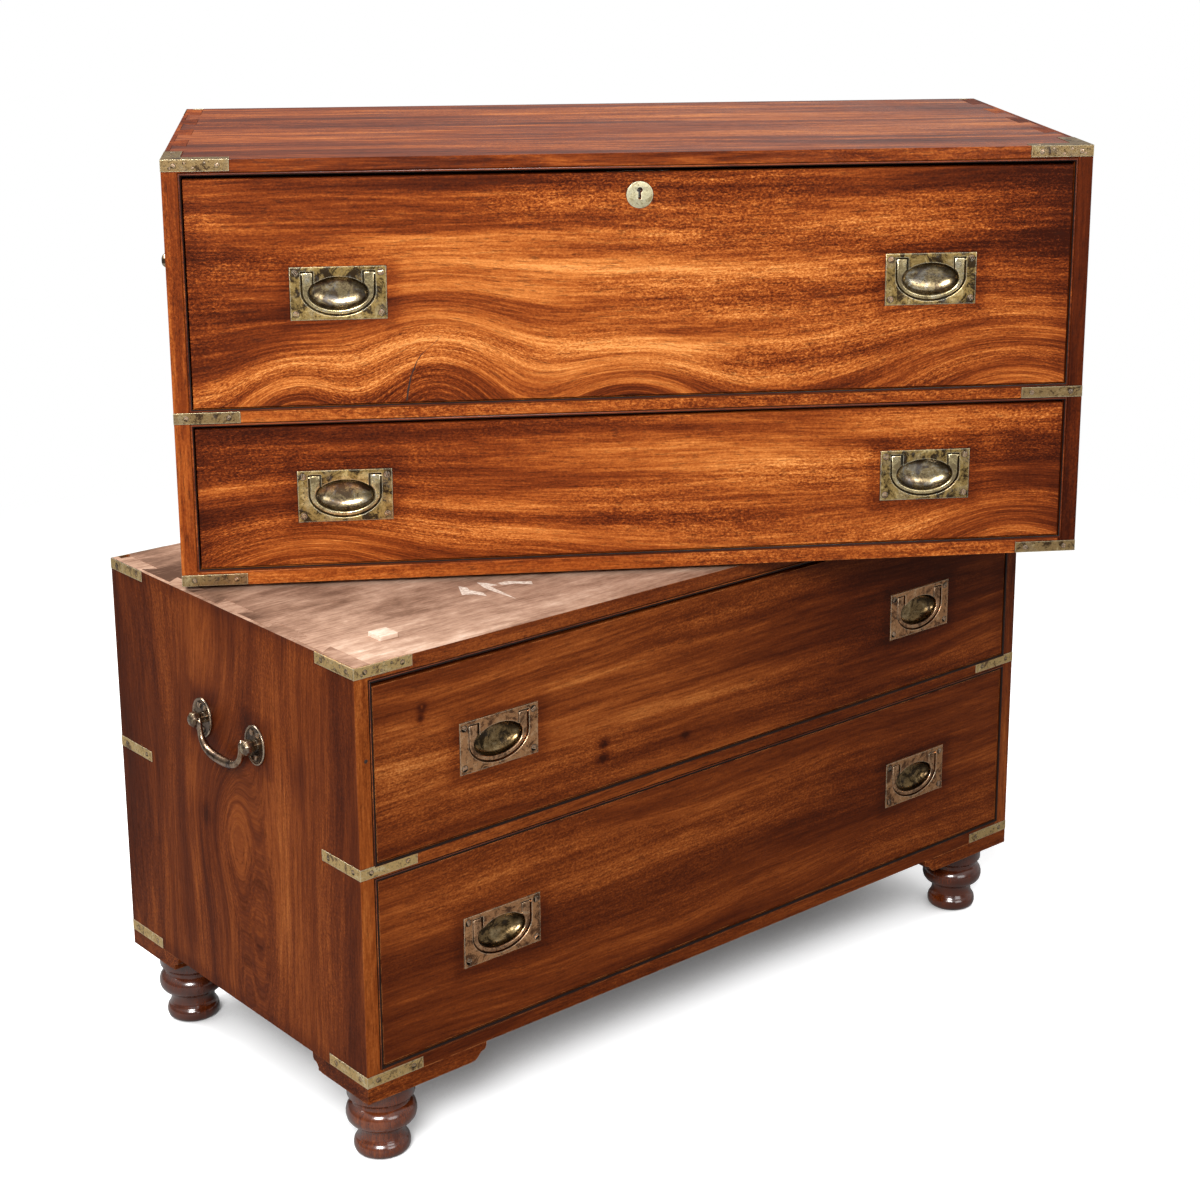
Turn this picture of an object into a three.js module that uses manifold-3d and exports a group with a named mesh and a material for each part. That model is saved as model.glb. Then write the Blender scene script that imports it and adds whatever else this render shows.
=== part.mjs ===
// Campaign chest in two cases, the upper one standing turned on the pegs of the lower one.
// Millimetres, +Z up, the lower case faces -Y. The origin is on the floor, in the middle of
// the outline that the whole chest takes up with its upper case turned.

import * as THREE from 'three';
import { mergeVertices } from 'three/addons/utils/BufferGeometryUtils.js';
import Module from 'manifold-3d';

const wasm = await Module();
wasm.setup();

// Driving dimensions of both cases
const caseWidth = 1000;
const caseDepth = 490;
const wall = 20;
const railThickness = 19;
const upperTopThickness = 17;
const lowerTopThickness = 19.5;
const upperTopOpening = 249;
const upperBottomOpening = 158.5;
const lowerTopOpening = 194;
const lowerBottomOpening = 208.5;

// How the upper case stands on the lower one
const upperTurn = 33.2;
const turnPoleX = 46.4;
const turnPoleY = -79.1;
const pegSize = 22;
const pegHeight = 5;
const pegFromSide = 78;
const pegFromFront = 62;
const socketRoom = 1.5;

// Gaps
const clearance = 0.3;
const drawerSideGap = 1.5;
const drawerBottomGap = 1.5;
const drawerSetBack = 1;
const overrun = 3;

// Carcass joinery
const backThickness = 10;
const rebateWidth = 12;
const rebateHeight = 9;
const housingDepth = 6;
const housingSetBack = 14;
const tailLap = 5;
const tailPitch = 100;
const tailRootShare = 0.42;
const tailTipShare = 0.6;
const tailMargin = 42;
const beadWidth = 3;
const beadGroove = 1;
const stopLength = 40;
const stopDepth = 14;
const stopHeight = 4.5;
const stopPlaceShare = 0.3;

// Corner blocks under the lower case
const bracketDrop = 18;
const bracketFrontLength = 153;
const bracketSideLength = 104;
const bracketThickness = 21;
const ogeeLength = 20;
const footBlockSize = 94;
const ogeeSteps = 3;

// Turned feet
const footHeight = 88;
const footInset = 47.5;
const footRing = 38;
const footSole = 25;
const footBase = 30.5;
const footWaist = 25.3;
const footQuirk = 31.2;
const footCollar = 36.5;
const tenonRadius = 14;
const tenonLength = 31;
const footSides = 14;
const boreSides = 8;

// Drawers
const frontThickness = 20;
const boxWall = 10;
const boxBottom = 7;
const boxBottomLift = 6;
const boxDrop = 4;
const drawerBackRoom = 22;
const upperTopGap = 4.2;
const upperBottomGap = 3.5;
const lowerTopGap = 4.5;
const lowerBottomGap = 1.3;
const drawerTailLap = 6;
const drawerTailPitch = 70;
const drawerTailMargin = 9;

// Flush pulls
const pullSpreadShare = 0.322;
const pullDrop = 1;
const plateWidth = 102;
const plateHeight = 57.3;
const flangeThickness = 2.4;
const plateProud = 0.6;
const bodyDepth = 7.4;
const bodyWall = 3.2;
const bailRimWidth = 6.8;
const bailTop = 22.4;
const bailBottom = 23.3;
const bailCurveCentre = 2;
const bailLegShare = 0.865;
const bailThickness = 3.2;
const bailRoom = 0.7;
const bowlWidth = 62.4;
const bowlHeight = 35.6;
const bowlDepth = 12.4;
const cupWall = 1.4;
const cupFront = 1;
const pivotRadius = 1;
const pivotLength = 2.4;
const pivotBelowTop = 2;
const pitHeight = 8;
const arcSteps = 4;
const bowlSides = 12;
const pivotSides = 6;

// Lock of the top drawer
const escutcheonRadius = 14.5;
const escutcheonThickness = 2;
const escutcheonProud = 0.8;
const escutcheonBelowTop = 24;
const keyholeRadius = 3;
const keyholeSlotWidth = 3;
const keyholeSlotLength = 10;
const keyholeRise = 5;
const keyholeSides = 12;
const escutcheonSides = 16;
const lockWidth = 68;
const lockHeight = 42;
const lockThickness = 10;
const boltWidth = 30;
const boltThickness = 5;
const boltLength = 26;
const boltThrow = 8;
const mortiseDepth = 7;

// Brass straps let in at the corners
const strapLength = 70;
const strapWidth = 12.3;
const strapThickness = 1.5;
const strapProud = 0.4;
const strapCapArm = 19;
const strapCapFillet = 7;
const strapFilletSteps = 4;
const lowerStrapRise = 2;

// Carrying handles on the sides
const handleBelowTop = 137;
const handleSpacing = 108;
const rosetteRadius = 22.5;
const rosetteThickness = 2.4;
const rosetteRim = 1.8;
const rosetteDish = 0.8;
const postHeadRadius = 8;
const postNeckRadius = 5.6;
const postLength = 18;
const postBoreFromSide = 11.5;
const bailPinRadius = 2.2;
const bailEndRadius = 2.9;
const bailTipRadius = 1;
const bailDrop = 30.5;
const bailSides = 6;
const rosetteSides = 12;
const postSides = 6;

// Places worked out from the sizes above
const halfWidth = caseWidth / 2;
const halfDepth = caseDepth / 2;
const innerHalf = halfWidth - wall;
const drawerDepth = caseDepth - backThickness - drawerBackRoom;
const pullSpacing = caseWidth * pullSpreadShare;
const bailWidth = bowlWidth + 2 * bailRimWidth;
const bailLegInner = (bowlWidth / 2) * bailLegShare;
const bailLegWidth = bailWidth / 2 - bailLegInner;
const lowerBase = footHeight + bracketDrop;

const upper = {
  name: 'upper',
  topThickness: upperTopThickness,
  openings: [upperBottomOpening, upperTopOpening],
  strapRise: 0,
};
const lower = {
  name: 'lower',
  topThickness: lowerTopThickness,
  openings: [lowerBottomOpening, lowerTopOpening],
  strapRise: lowerStrapRise,
};
for (const chestCase of [upper, lower]) {
  const [below, above] = chestCase.openings;
  chestCase.dividerBase = railThickness + below;
  chestCase.height = chestCase.dividerBase + railThickness + above + chestCase.topThickness;
  chestCase.topUnderside = chestCase.height - chestCase.topThickness;
  chestCase.openingPlaces = [
    [railThickness, chestCase.dividerBase],
    [chestCase.dividerBase + railThickness, chestCase.topUnderside],
  ];
  chestCase.handleHeight = chestCase.height - handleBelowTop;
}
const upperBase = lowerBase + lower.height + pegHeight + clearance;

// Finishes
const mahogany = new THREE.MeshStandardMaterial({ color: 0x8a3f17, roughness: 0.42, metalness: 0 });
const darkMahogany = new THREE.MeshStandardMaterial({ color: 0x4a1d10, roughness: 0.3, metalness: 0 });
const bareTop = new THREE.MeshStandardMaterial({ color: 0xa9806a, roughness: 0.8, metalness: 0 });
const drawerPine = new THREE.MeshStandardMaterial({ color: 0xb58a5a, roughness: 0.75, metalness: 0 });
const agedBrass = new THREE.MeshStandardMaterial({ color: 0xa3924f, roughness: 0.35, metalness: 1 });
const steel = new THREE.MeshStandardMaterial({ color: 0x77787a, roughness: 0.45, metalness: 1 });

// Solids: every shape is a closed BufferGeometry, joined and cut as a manifold
function toManifold(geometry) {
  const bare = geometry.clone();
  bare.deleteAttribute('normal');
  bare.deleteAttribute('uv');
  const merged = mergeVertices(bare);
  return new wasm.Manifold(new wasm.Mesh({
    numProp: 3,
    vertProperties: Float32Array.from(merged.attributes.position.array),
    triVerts: Uint32Array.from(merged.index.array),
  }));
}

function toGeometry(solid) {
  const mesh = solid.getMesh();
  const geometry = new THREE.BufferGeometry();
  geometry.setAttribute('position', new THREE.BufferAttribute(mesh.vertProperties, 3));
  geometry.setIndex(new THREE.BufferAttribute(mesh.triVerts, 1));
  return geometry;
}

function join(base, ...others) {
  let solid = toManifold(base);
  for (const other of others.flat()) solid = solid.add(toManifold(other));
  return toGeometry(solid);
}

function cut(base, ...tools) {
  let solid = toManifold(base);
  for (const tool of tools.flat()) solid = solid.subtract(toManifold(tool));
  return toGeometry(solid);
}

function mirrored(geometry) {
  const copy = geometry.clone();
  copy.scale(-1, 1, 1);
  const index = copy.index.array;
  for (let i = 0; i < index.length; i += 3) {
    const first = index[i];
    index[i] = index[i + 1];
    index[i + 1] = first;
  }
  return copy;
}

// A box between two limits along each axis
function block([x0, x1], [y0, y1], [z0, z1]) {
  const geometry = new THREE.BoxGeometry(x1 - x0, y1 - y0, z1 - z0);
  return geometry.translate((x0 + x1) / 2, (y0 + y1) / 2, (z0 + z1) / 2);
}

function outline(points) {
  return new THREE.Shape(points.map(([x, y]) => new THREE.Vector2(x, y)));
}

// A plan outline raised from z0 to z1
function raised(shape, z0, z1) {
  const geometry = new THREE.ExtrudeGeometry(shape, { depth: z1 - z0, bevelEnabled: false });
  return geometry.translate(0, 0, z0);
}

// A front outline (x, z) carried back from y0 to y1
function carriedBack(shape, y0, y1) {
  const geometry = new THREE.ExtrudeGeometry(shape, { depth: y1 - y0, bevelEnabled: false });
  return geometry.rotateX(Math.PI / 2).translate(0, y1, 0);
}

// A side profile (y, z) carried across from x0 to x1
function carriedAcross(shape, x0, x1) {
  const geometry = new THREE.ExtrudeGeometry(shape, { depth: x1 - x0, bevelEnabled: false });
  const turn = new THREE.Matrix4().makeBasis(
    new THREE.Vector3(0, 1, 0),
    new THREE.Vector3(0, 0, 1),
    new THREE.Vector3(1, 0, 0),
  );
  return geometry.applyMatrix4(turn).translate(x0, 0, 0);
}

// A profile of [radius, height] points turned about the Z axis
function turned(profile, sides) {
  const points = profile.map(([radius, height]) => new THREE.Vector2(radius, height));
  return new THREE.LatheGeometry(points, sides).rotateX(Math.PI / 2);
}

function rod(radius, length, sides) {
  return new THREE.CylinderGeometry(radius, radius, length, sides);
}

// A plug that narrows from the front face backwards, in a front opening
function taperedPlug([x0, x1], [z0, z1], grow, depth) {
  const face = -halfDepth;
  const rings = [[grow + overrun, face - overrun], [grow - depth, face + depth]];
  const corners = rings.flatMap(([g, y]) => [
    [x0 - g, y, z0 - g], [x1 + g, y, z0 - g], [x1 + g, y, z1 + g], [x0 - g, y, z1 + g],
  ]);
  const geometry = new THREE.BufferGeometry();
  geometry.setAttribute('position', new THREE.Float32BufferAttribute(corners.flat(), 3));
  const quads = [[0, 1, 2, 3], [7, 6, 5, 4], [0, 4, 5, 1], [1, 5, 6, 2], [2, 6, 7, 3], [3, 7, 4, 0]];
  geometry.setIndex(quads.flatMap(([a, b, c, d]) => [a, b, c, a, c, d]));
  return geometry;
}

// The quirk that sets off the bead round a drawer opening, mitred at its corners
function beadCutters([z0, z1]) {
  const opening = [[-innerHalf, innerHalf], [z0, z1]];
  return [cut(
    taperedPlug(...opening, beadWidth + beadGroove, beadGroove),
    taperedPlug(...opening, beadWidth - beadGroove, -beadGroove),
  )];
}

// Dovetails along the ends of the top and bottom boards
function tailPlaces(length, pitch, margin) {
  const count = Math.max(2, Math.round((length - 2 * margin) / pitch));
  const step = (length - 2 * margin) / count;
  return Array.from({ length: count }, (_, i) => ({ middle: margin + step * (i + 0.5), step }));
}

function carcassTails(z0, z1, grow) {
  const root = -innerHalf + wall;
  const start = -innerHalf - clearance;
  const tip = -halfWidth + tailLap;
  return tailPlaces(caseDepth, tailPitch, tailMargin).map(({ middle, step }) => {
    const y = middle - halfDepth;
    const narrow = (step * tailRootShare) / 2 + grow;
    const wide = (step * tailTipShare) / 2 + grow;
    const shape = outline([
      [root, y - narrow], [root, y + narrow], [start, y + narrow],
      [tip - grow, y + wide], [tip - grow, y - wide], [start, y - narrow],
    ]);
    return raised(shape, z0, z1);
  });
}

// Brass straps: two arms round a vertical corner, at the left front of a case
function strapLevels(chestCase) {
  const middle = chestCase.dividerBase + railThickness / 2 + chestCase.strapRise;
  return {
    top: [chestCase.height - strapWidth, chestCase.height],
    middle: [middle - strapWidth / 2, middle + strapWidth / 2],
    bottom: [clearance, clearance + strapWidth],
  };
}

function strapArms([z0, z1], grow) {
  const outX = -halfWidth - strapProud - grow;
  const outY = -halfDepth - strapProud - grow;
  const inX = -halfWidth + strapThickness - strapProud + grow;
  const inY = -halfDepth + strapThickness - strapProud + grow;
  const endX = -halfWidth + strapLength + grow;
  const endY = -halfDepth + strapLength + grow;
  const shape = outline([[outX, outY], [endX, outY], [endX, inY], [inX, inY], [inX, endY], [outX, endY]]);
  return raised(shape, z0 - grow, z1 + grow);
}

// The cap of a top corner covers the three faces that meet there
function strapCap(height, grow) {
  const outX = -halfWidth - strapProud - grow;
  const outY = -halfDepth - strapProud - grow;
  const endX = -halfWidth + strapLength + grow;
  const endY = -halfDepth + strapLength + grow;
  const armX = -halfWidth + strapCapArm + grow;
  const armY = -halfDepth + strapCapArm + grow;
  const shape = new THREE.Shape();
  shape.moveTo(outX, outY);
  shape.lineTo(endX, outY);
  shape.lineTo(endX, armY);
  shape.lineTo(armX + strapCapFillet, armY);
  shape.quadraticCurveTo(armX, armY, armX, armY + strapCapFillet);
  shape.lineTo(armX, endY);
  shape.lineTo(outX, endY);
  const z0 = height - strapThickness + strapProud - grow;
  const z1 = height + strapProud + grow;
  const geometry = new THREE.ExtrudeGeometry(shape, {
    depth: z1 - z0, bevelEnabled: false, curveSegments: strapFilletSteps,
  });
  return geometry.translate(0, 0, z0);
}

function strapPiece(chestCase, level) {
  const span = strapLevels(chestCase)[level];
  if (level !== 'top' || chestCase !== upper) return strapArms(span, 0);
  return join(strapArms(span, 0), strapCap(chestCase.height, 0));
}

function strapPockets(chestCase) {
  const levels = strapLevels(chestCase);
  const pockets = Object.values(levels).map((span) => strapArms(span, clearance));
  if (chestCase === upper) pockets.push(strapCap(chestCase.height, clearance));
  return pockets.flatMap((pocket) => {
    const closed = join(pocket);
    return [closed, mirrored(closed)];
  });
}

// The rear straps are fused to the boards that carry them, so only their raised part is added
function rearStraps(chestCase) {
  const x = [-halfWidth - strapProud, -halfWidth + wall / 4];
  const y = [halfDepth - strapLength, halfDepth + strapProud];
  return Object.values(strapLevels(chestCase)).map((span) => block(x, y, span));
}

// Carrying handle: two rosettes with posts fused to the side board, and a bail that drops between
function handlePost() {
  const rosette = turned([
    [0, -wall / 4], [rosetteRadius, -wall / 4], [rosetteRadius, rosetteThickness - rosetteDish],
    [rosetteRadius - rosetteRim, rosetteThickness], [0, rosetteThickness],
  ], rosetteSides);
  const head = postHeadRadius;
  const post = turned([
    [0, -wall / 4], [head - 2 * rosetteDish, -wall / 4], [head - rosetteDish, rosetteThickness],
    [postNeckRadius, rosetteThickness + rosetteDish], [head, postBoreFromSide - postHeadRadius / 2],
    [head, postBoreFromSide + postHeadRadius / 4], [postNeckRadius, postLength - rosetteDish],
    [postNeckRadius / 2, postLength], [0, postLength],
  ], postSides);
  const bore = rod(bailPinRadius + 2 * clearance, 4 * postHeadRadius, bailSides)
    .translate(0, 0, postBoreFromSide);
  post.rotateZ(Math.PI / postSides);
  return cut(join(rosette, post), bore).rotateY(-Math.PI / 2);
}

function handlePosts(chestCase) {
  return [-1, 1].map((side) => handlePost()
    .translate(-halfWidth, (side * handleSpacing) / 2, chestCase.handleHeight));
}

// The bail is a tube that swells towards its middle, with a pin at each end along Y
function carryingBail() {
  const legFromPost = bailEndRadius + 2 * clearance;
  const legPlace = handleSpacing / 2 - postHeadRadius - legFromPost;
  const stationShares = [
    [1, -0.11, 0], [1, -0.04, 0.7], [1, 0.06, 0.85], [0.985, 0.3, 0.95], [0.9, 0.62, 1.25],
    [0.68, 0.86, 1.6], [0.36, 0.97, 1.9], [0, 1, 2.1],
  ];
  const half = stationShares.map(([across, down, size]) => [
    legPlace * across, -bailDrop * down, bailTipRadius + (bailEndRadius - bailTipRadius) * size,
  ]);
  const stations = [...half, ...half.slice(0, -1).map(([y, z, radius]) => [-y, z, radius]).reverse()];
  const across = new THREE.Vector3(1, 0, 0);
  const points = stations.flatMap(([y, z, radius], i) => {
    const [yBefore, zBefore] = stations[Math.max(0, i - 1)];
    const [yAfter, zAfter] = stations[Math.min(stations.length - 1, i + 1)];
    const inward = new THREE.Vector3(0, zAfter - zBefore, yBefore - yAfter).normalize();
    const centre = new THREE.Vector3(-postBoreFromSide, y, z);
    return Array.from({ length: bailSides }, (_, k) => {
      const angle = (2 * Math.PI * k) / bailSides;
      return centre.clone()
        .addScaledVector(across, radius * Math.cos(angle))
        .addScaledVector(inward, radius * Math.sin(angle));
    });
  });
  const pinLength = legFromPost + postHeadRadius + postNeckRadius / 2;
  const pins = [-1, 1].map((side) => rod(bailPinRadius, pinLength, bailSides)
    .translate(-postBoreFromSide, side * (legPlace + pinLength / 2), 0));
  return join(tubeFromRings(points, bailSides), pins);
}

function tubeFromRings(points, sides) {
  const rings = points.length / sides;
  const index = [];
  for (let r = 0; r < rings - 1; r += 1) {
    for (let k = 0; k < sides; k += 1) {
      const a = r * sides + k;
      const b = r * sides + ((k + 1) % sides);
      index.push(a, b, b + sides, a, b + sides, a + sides);
    }
  }
  const last = (rings - 1) * sides;
  for (let k = 1; k < sides - 1; k += 1) {
    index.push(0, k + 1, k);
    index.push(last, last + k, last + k + 1);
  }
  const geometry = new THREE.BufferGeometry();
  geometry.setFromPoints(points);
  geometry.setIndex(index);
  return geometry;
}

// Side board, made as the left one
function sideBoard(chestCase) {
  const rearStep = -innerHalf - rebateWidth;
  const plan = outline([
    [-halfWidth, -halfDepth], [-innerHalf, -halfDepth], [-innerHalf, halfDepth - backThickness],
    [rearStep, halfDepth - backThickness], [rearStep, halfDepth], [-halfWidth, halfDepth],
  ]);
  const board = raised(plan, 0, chestCase.height);
  const housing = block(
    [-innerHalf - housingDepth - clearance, -innerHalf + overrun],
    [-halfDepth + housingSetBack - clearance, halfDepth + overrun],
    [chestCase.dividerBase - clearance, chestCase.dividerBase + railThickness + clearance],
  );
  const topSockets = carcassTails(chestCase.topUnderside - clearance, chestCase.height + overrun, clearance);
  const bottomSockets = carcassTails(-overrun, railThickness + clearance, clearance);
  const beads = chestCase.openingPlaces.flatMap(beadCutters);
  const shaped = join(board, rearStraps(chestCase), handlePosts(chestCase));
  return cut(shaped, housing, topSockets, bottomSockets, beads, strapPockets(chestCase));
}

// Boards between the sides, each with its rebate for the back panel and its tails
function betweenSides(profilePoints) {
  return carriedAcross(outline(profilePoints), -innerHalf + clearance, innerHalf - clearance);
}

function withTails(board, z0, z1) {
  const tails = carcassTails(z0, z1, 0);
  return join(board, tails, tails.map((tail) => mirrored(join(tail))));
}

function topBoard(chestCase) {
  const under = chestCase.topUnderside;
  const board = betweenSides([
    [-halfDepth, under], [halfDepth - backThickness, under],
    [halfDepth - backThickness, under + rebateHeight], [halfDepth, under + rebateHeight],
    [halfDepth, chestCase.height], [-halfDepth, chestCase.height],
  ]);
  const jointed = withTails(board, under, chestCase.height);
  return cut(jointed, beadCutters(chestCase.openingPlaces[1]), strapPockets(chestCase));
}

function pegPlaces() {
  const x = halfWidth - pegFromSide;
  const y = halfDepth - pegFromFront;
  return [[-x, -y], [x, -y], [-x, y], [x, y]];
}

function pegs(chestCase) {
  const half = pegSize / 2;
  const foot = chestCase.topThickness / 2;
  return pegPlaces().map(([x, y]) => block(
    [x - half, x + half], [y - half, y + half], [chestCase.height - foot, chestCase.height + pegHeight],
  ));
}

function pegSockets() {
  const half = pegSize / 2 + socketRoom;
  return pegPlaces().map(([x, y]) => block(
    [x - half, x + half], [y - half, y + half], [-overrun, pegHeight + socketRoom],
  ));
}

function dividerBoard(chestCase) {
  const z0 = chestCase.dividerBase;
  const z1 = z0 + railThickness;
  const rail = block([-innerHalf + clearance, innerHalf - clearance],
    [-halfDepth, -halfDepth + 2 * housingSetBack], [z0, z1]);
  const shelf = block([-innerHalf - housingDepth, innerHalf + housingDepth],
    [-halfDepth + housingSetBack, halfDepth - backThickness - clearance], [z0, z1]);
  const beads = chestCase.openingPlaces.flatMap(beadCutters);
  return cut(join(rail, shelf, drawerStops(z1)), beads, strapPockets(chestCase));
}

// Small blocks that stop a drawer flush with the front, under its bottom
function drawerStops(z) {
  const y0 = -halfDepth + drawerSetBack + frontThickness + clearance;
  return [-1, 1].map((side) => {
    const x = side * caseWidth * stopPlaceShare;
    return block([x - stopLength / 2, x + stopLength / 2], [y0, y0 + stopDepth],
      [z - stopHeight, z + stopHeight]);
  });
}

function bottomBoard(chestCase) {
  const board = betweenSides([
    [-halfDepth, 0], [halfDepth, 0], [halfDepth, railThickness - rebateHeight],
    [halfDepth - backThickness, railThickness - rebateHeight],
    [halfDepth - backThickness, railThickness], [-halfDepth, railThickness],
  ]);
  const jointed = withTails(board, 0, railThickness);
  const cutters = [beadCutters(chestCase.openingPlaces[0]), strapPockets(chestCase)];
  const whole = join(jointed, drawerStops(railThickness));
  if (chestCase === upper) return cut(whole, ...cutters, pegSockets());
  return cut(join(whole, cornerBlocks()), ...cutters, tenonBores());
}

// Corner block: two aprons with an ogee end round the block that takes the foot
function apron(length) {
  const flat = length - ogeeLength;
  const shape = new THREE.Shape();
  shape.moveTo(0, -bracketDrop);
  shape.lineTo(flat, -bracketDrop);
  shape.bezierCurveTo(
    flat + ogeeLength / 2, -bracketDrop, flat + ogeeLength / 2, -bracketDrop / 2,
    flat + (ogeeLength * 3) / 4, -bracketDrop / 2,
  );
  shape.quadraticCurveTo(length, -bracketDrop / 2, length, -clearance);
  shape.lineTo(0, -clearance);
  return outline(shape.getPoints(ogeeSteps).map(({ x, y }) => [x, y]));
}

function cornerBlocks() {
  const front = carriedBack(apron(bracketFrontLength), -halfDepth, -halfDepth + bracketThickness)
    .translate(-halfWidth, 0, 0);
  const side = carriedAcross(apron(bracketSideLength), -halfWidth, -halfWidth + bracketThickness)
    .translate(0, -halfDepth, 0);
  const centre = block([-halfWidth, -halfWidth + footBlockSize],
    [-halfDepth, -halfDepth + footBlockSize], [-bracketDrop, -clearance]);
  const neck = block([-innerHalf + clearance, -halfWidth + footBlockSize],
    [-halfDepth, -halfDepth + footBlockSize], [-bracketDrop / 2, railThickness / 2]);
  const seam = block([-innerHalf + clearance, -halfWidth + bracketFrontLength - ogeeLength / 4],
    [-halfDepth, -halfDepth + bracketThickness], [-bracketDrop / 4, railThickness / 4]);
  const frontLeft = join(front, side, centre, neck, seam);
  const frontRight = mirrored(frontLeft);
  return [frontLeft, frontRight, frontLeft.clone().rotateZ(Math.PI), frontRight.clone().rotateZ(Math.PI)];
}

function footPlaces() {
  const x = halfWidth - footInset;
  const y = halfDepth - footInset;
  return { front_left: [-x, -y], front_right: [x, -y], rear_left: [-x, y], rear_right: [x, y] };
}

function tenonBores() {
  const depth = tenonLength + clearance + overrun;
  const radius = (tenonRadius + clearance) / Math.cos(Math.PI / boreSides);
  return Object.values(footPlaces()).map(([x, y]) => rod(radius, depth, boreSides)
    .rotateX(Math.PI / 2)
    .translate(x, y, -bracketDrop - overrun + depth / 2));
}

// The foot: sole ring, hollow waist, large ring, quirk and collar, with a tenon that screws in
function footPiece() {
  const waist = footWaist;
  const ring = footRing;
  const collar = footCollar;
  const top = footHeight - clearance;
  const soleRoundShares = [[1, 0.07], [0.85, 0.155]];
  const sole = soleRoundShares.map(([out, up]) => [footSole + (footBase - footSole) * out, footHeight * up]);
  const waistShares = [[1.05, 0.205], [1, 0.28], [1.07, 0.35]];
  const hollow = waistShares.map(([out, up]) => [waist * out, footHeight * up]);
  const ringShares = [[0.84, 0.39], [1, 0.5], [0.88, 0.645]];
  const swell = ringShares.map(([out, up]) => [ring * out, footHeight * up]);
  const quirkShares = [0.66, 0.72];
  const quirk = quirkShares.map((up) => [footQuirk, footHeight * up]);
  const collarShare = 0.77;
  return turned([
    [0, 0], [footSole, 0], ...sole, ...hollow, ...swell, ...quirk,
    [collar, footHeight * collarShare], [collar, top],
    [tenonRadius, top], [tenonRadius, top + tenonLength], [0, top + tenonLength],
  ], footSides);
}

function backPanel(chestCase) {
  const edge = innerHalf + rebateWidth - clearance;
  const panel = block([-edge, edge], [halfDepth - backThickness + clearance, halfDepth],
    [railThickness - rebateHeight + clearance, chestCase.topUnderside + rebateHeight - clearance]);
  const { middle } = strapLevels(chestCase);
  const y = [halfDepth - backThickness / 2, halfDepth + strapProud];
  const pads = [
    block([-edge, -halfWidth + strapLength], y, middle),
    block([halfWidth - strapLength, edge], y, middle),
  ];
  return join(panel, pads);
}

// Flush pull. Its outline is a D: square shoulders above, a half ellipse below
function pullOutline(grow) {
  const half = bailWidth / 2 + grow;
  const shape = new THREE.Shape();
  shape.moveTo(half, bailTop + grow);
  shape.lineTo(-half, bailTop + grow);
  shape.lineTo(-half, bailCurveCentre);
  const low = bailBottom + bailCurveCentre + grow;
  shape.absellipse(0, bailCurveCentre, half, low, Math.PI, 2 * Math.PI, false);
  return shape;
}

function extrudedShape(shape, y0, y1) {
  const geometry = new THREE.ExtrudeGeometry(shape, {
    depth: y1 - y0, bevelEnabled: false, curveSegments: arcSteps,
  });
  return geometry.rotateX(Math.PI / 2).translate(0, y1, 0);
}

function bowl(shares, grow, front) {
  const depth = bowlDepth + grow;
  const across = bowlWidth / 2 + grow;
  const tall = bowlHeight / 2 + grow;
  const sweep = shares.map(([out, down]) => [across * out, depth * down]);
  const geometry = turned([[0, front], [across, front], ...sweep, [0, depth]], bowlSides);
  geometry.rotateX(-Math.PI / 2);
  return geometry.scale(1, 1, tall / across);
}

function pivotPlaces() {
  return { z: bailTop - pivotBelowTop, y: bailRoom / 2 + bailThickness / 2 };
}

function pullPlate() {
  const back = bodyDepth;
  const halfW = plateWidth / 2;
  const halfH = plateHeight / 2;
  const flange = block([-halfW, halfW], [-plateProud, flangeThickness - plateProud], [-halfH, halfH]);
  const body = extrudedShape(pullOutline(bodyWall), 0, back);
  const cupShares = [[1, 0.6], [0.72, 1]];
  const cup = bowl(cupShares, cupWall, cupFront);
  const channel = cut(
    extrudedShape(pullOutline(bailRoom), -overrun, bailRoom + bailThickness),
    block([-bailLegInner + bailRoom, bailLegInner - bailRoom],
      [-2 * overrun, back], [bowlHeight / 4, bailTop + overrun]),
  );
  const legMiddle = (bailWidth - bailLegWidth) / 2;
  const pitHalf = bailLegWidth / 2 + bailRoom;
  const { y, z } = pivotPlaces();
  const pits = [-1, 1].map((side) => block(
    [side * legMiddle - pitHalf, side * legMiddle + pitHalf],
    [-overrun, y + pivotBelowTop + bailRoom + clearance],
    [bailTop + bailRoom - pitHeight, bailTop + bailRoom],
  ));
  const holes = rod(pivotRadius + 2 * clearance, bailWidth + 2 * pivotLength + 2 * clearance, pivotSides)
    .rotateZ(Math.PI / 2).translate(0, y, z);
  const tongueHalf = bailLegInner - 2 * bailRoom;
  const tongue = block([-tongueHalf, tongueHalf], [0, back - cupWall], [bowlHeight / 4, bailTop]);
  const drilled = join(cut(join(flange, body, cup), channel, pits, holes), tongue);
  const bowlShares = [[0.96, 0.42], [0.64, 0.9]];
  return cut(drilled, bowl(bowlShares, 0, -overrun));
}

function pullPocket() {
  const halfW = plateWidth / 2 + clearance;
  const halfH = plateHeight / 2 + clearance;
  const cupDepth = bowlDepth + cupWall + clearance;
  const across = bowlWidth / 2 + cupWall + 2 * clearance;
  const tall = bowlHeight / 2 + cupWall + 2 * clearance;
  const cupRoom = rod(across, cupDepth, bowlSides).translate(0, cupDepth / 2, 0);
  cupRoom.scale(1, 1, tall / across);
  return [
    block([-halfW, halfW], [-overrun, flangeThickness - plateProud + clearance], [-halfH, halfH]),
    extrudedShape(pullOutline(bodyWall + clearance), 0, bodyDepth + clearance),
    cupRoom,
  ];
}

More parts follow.
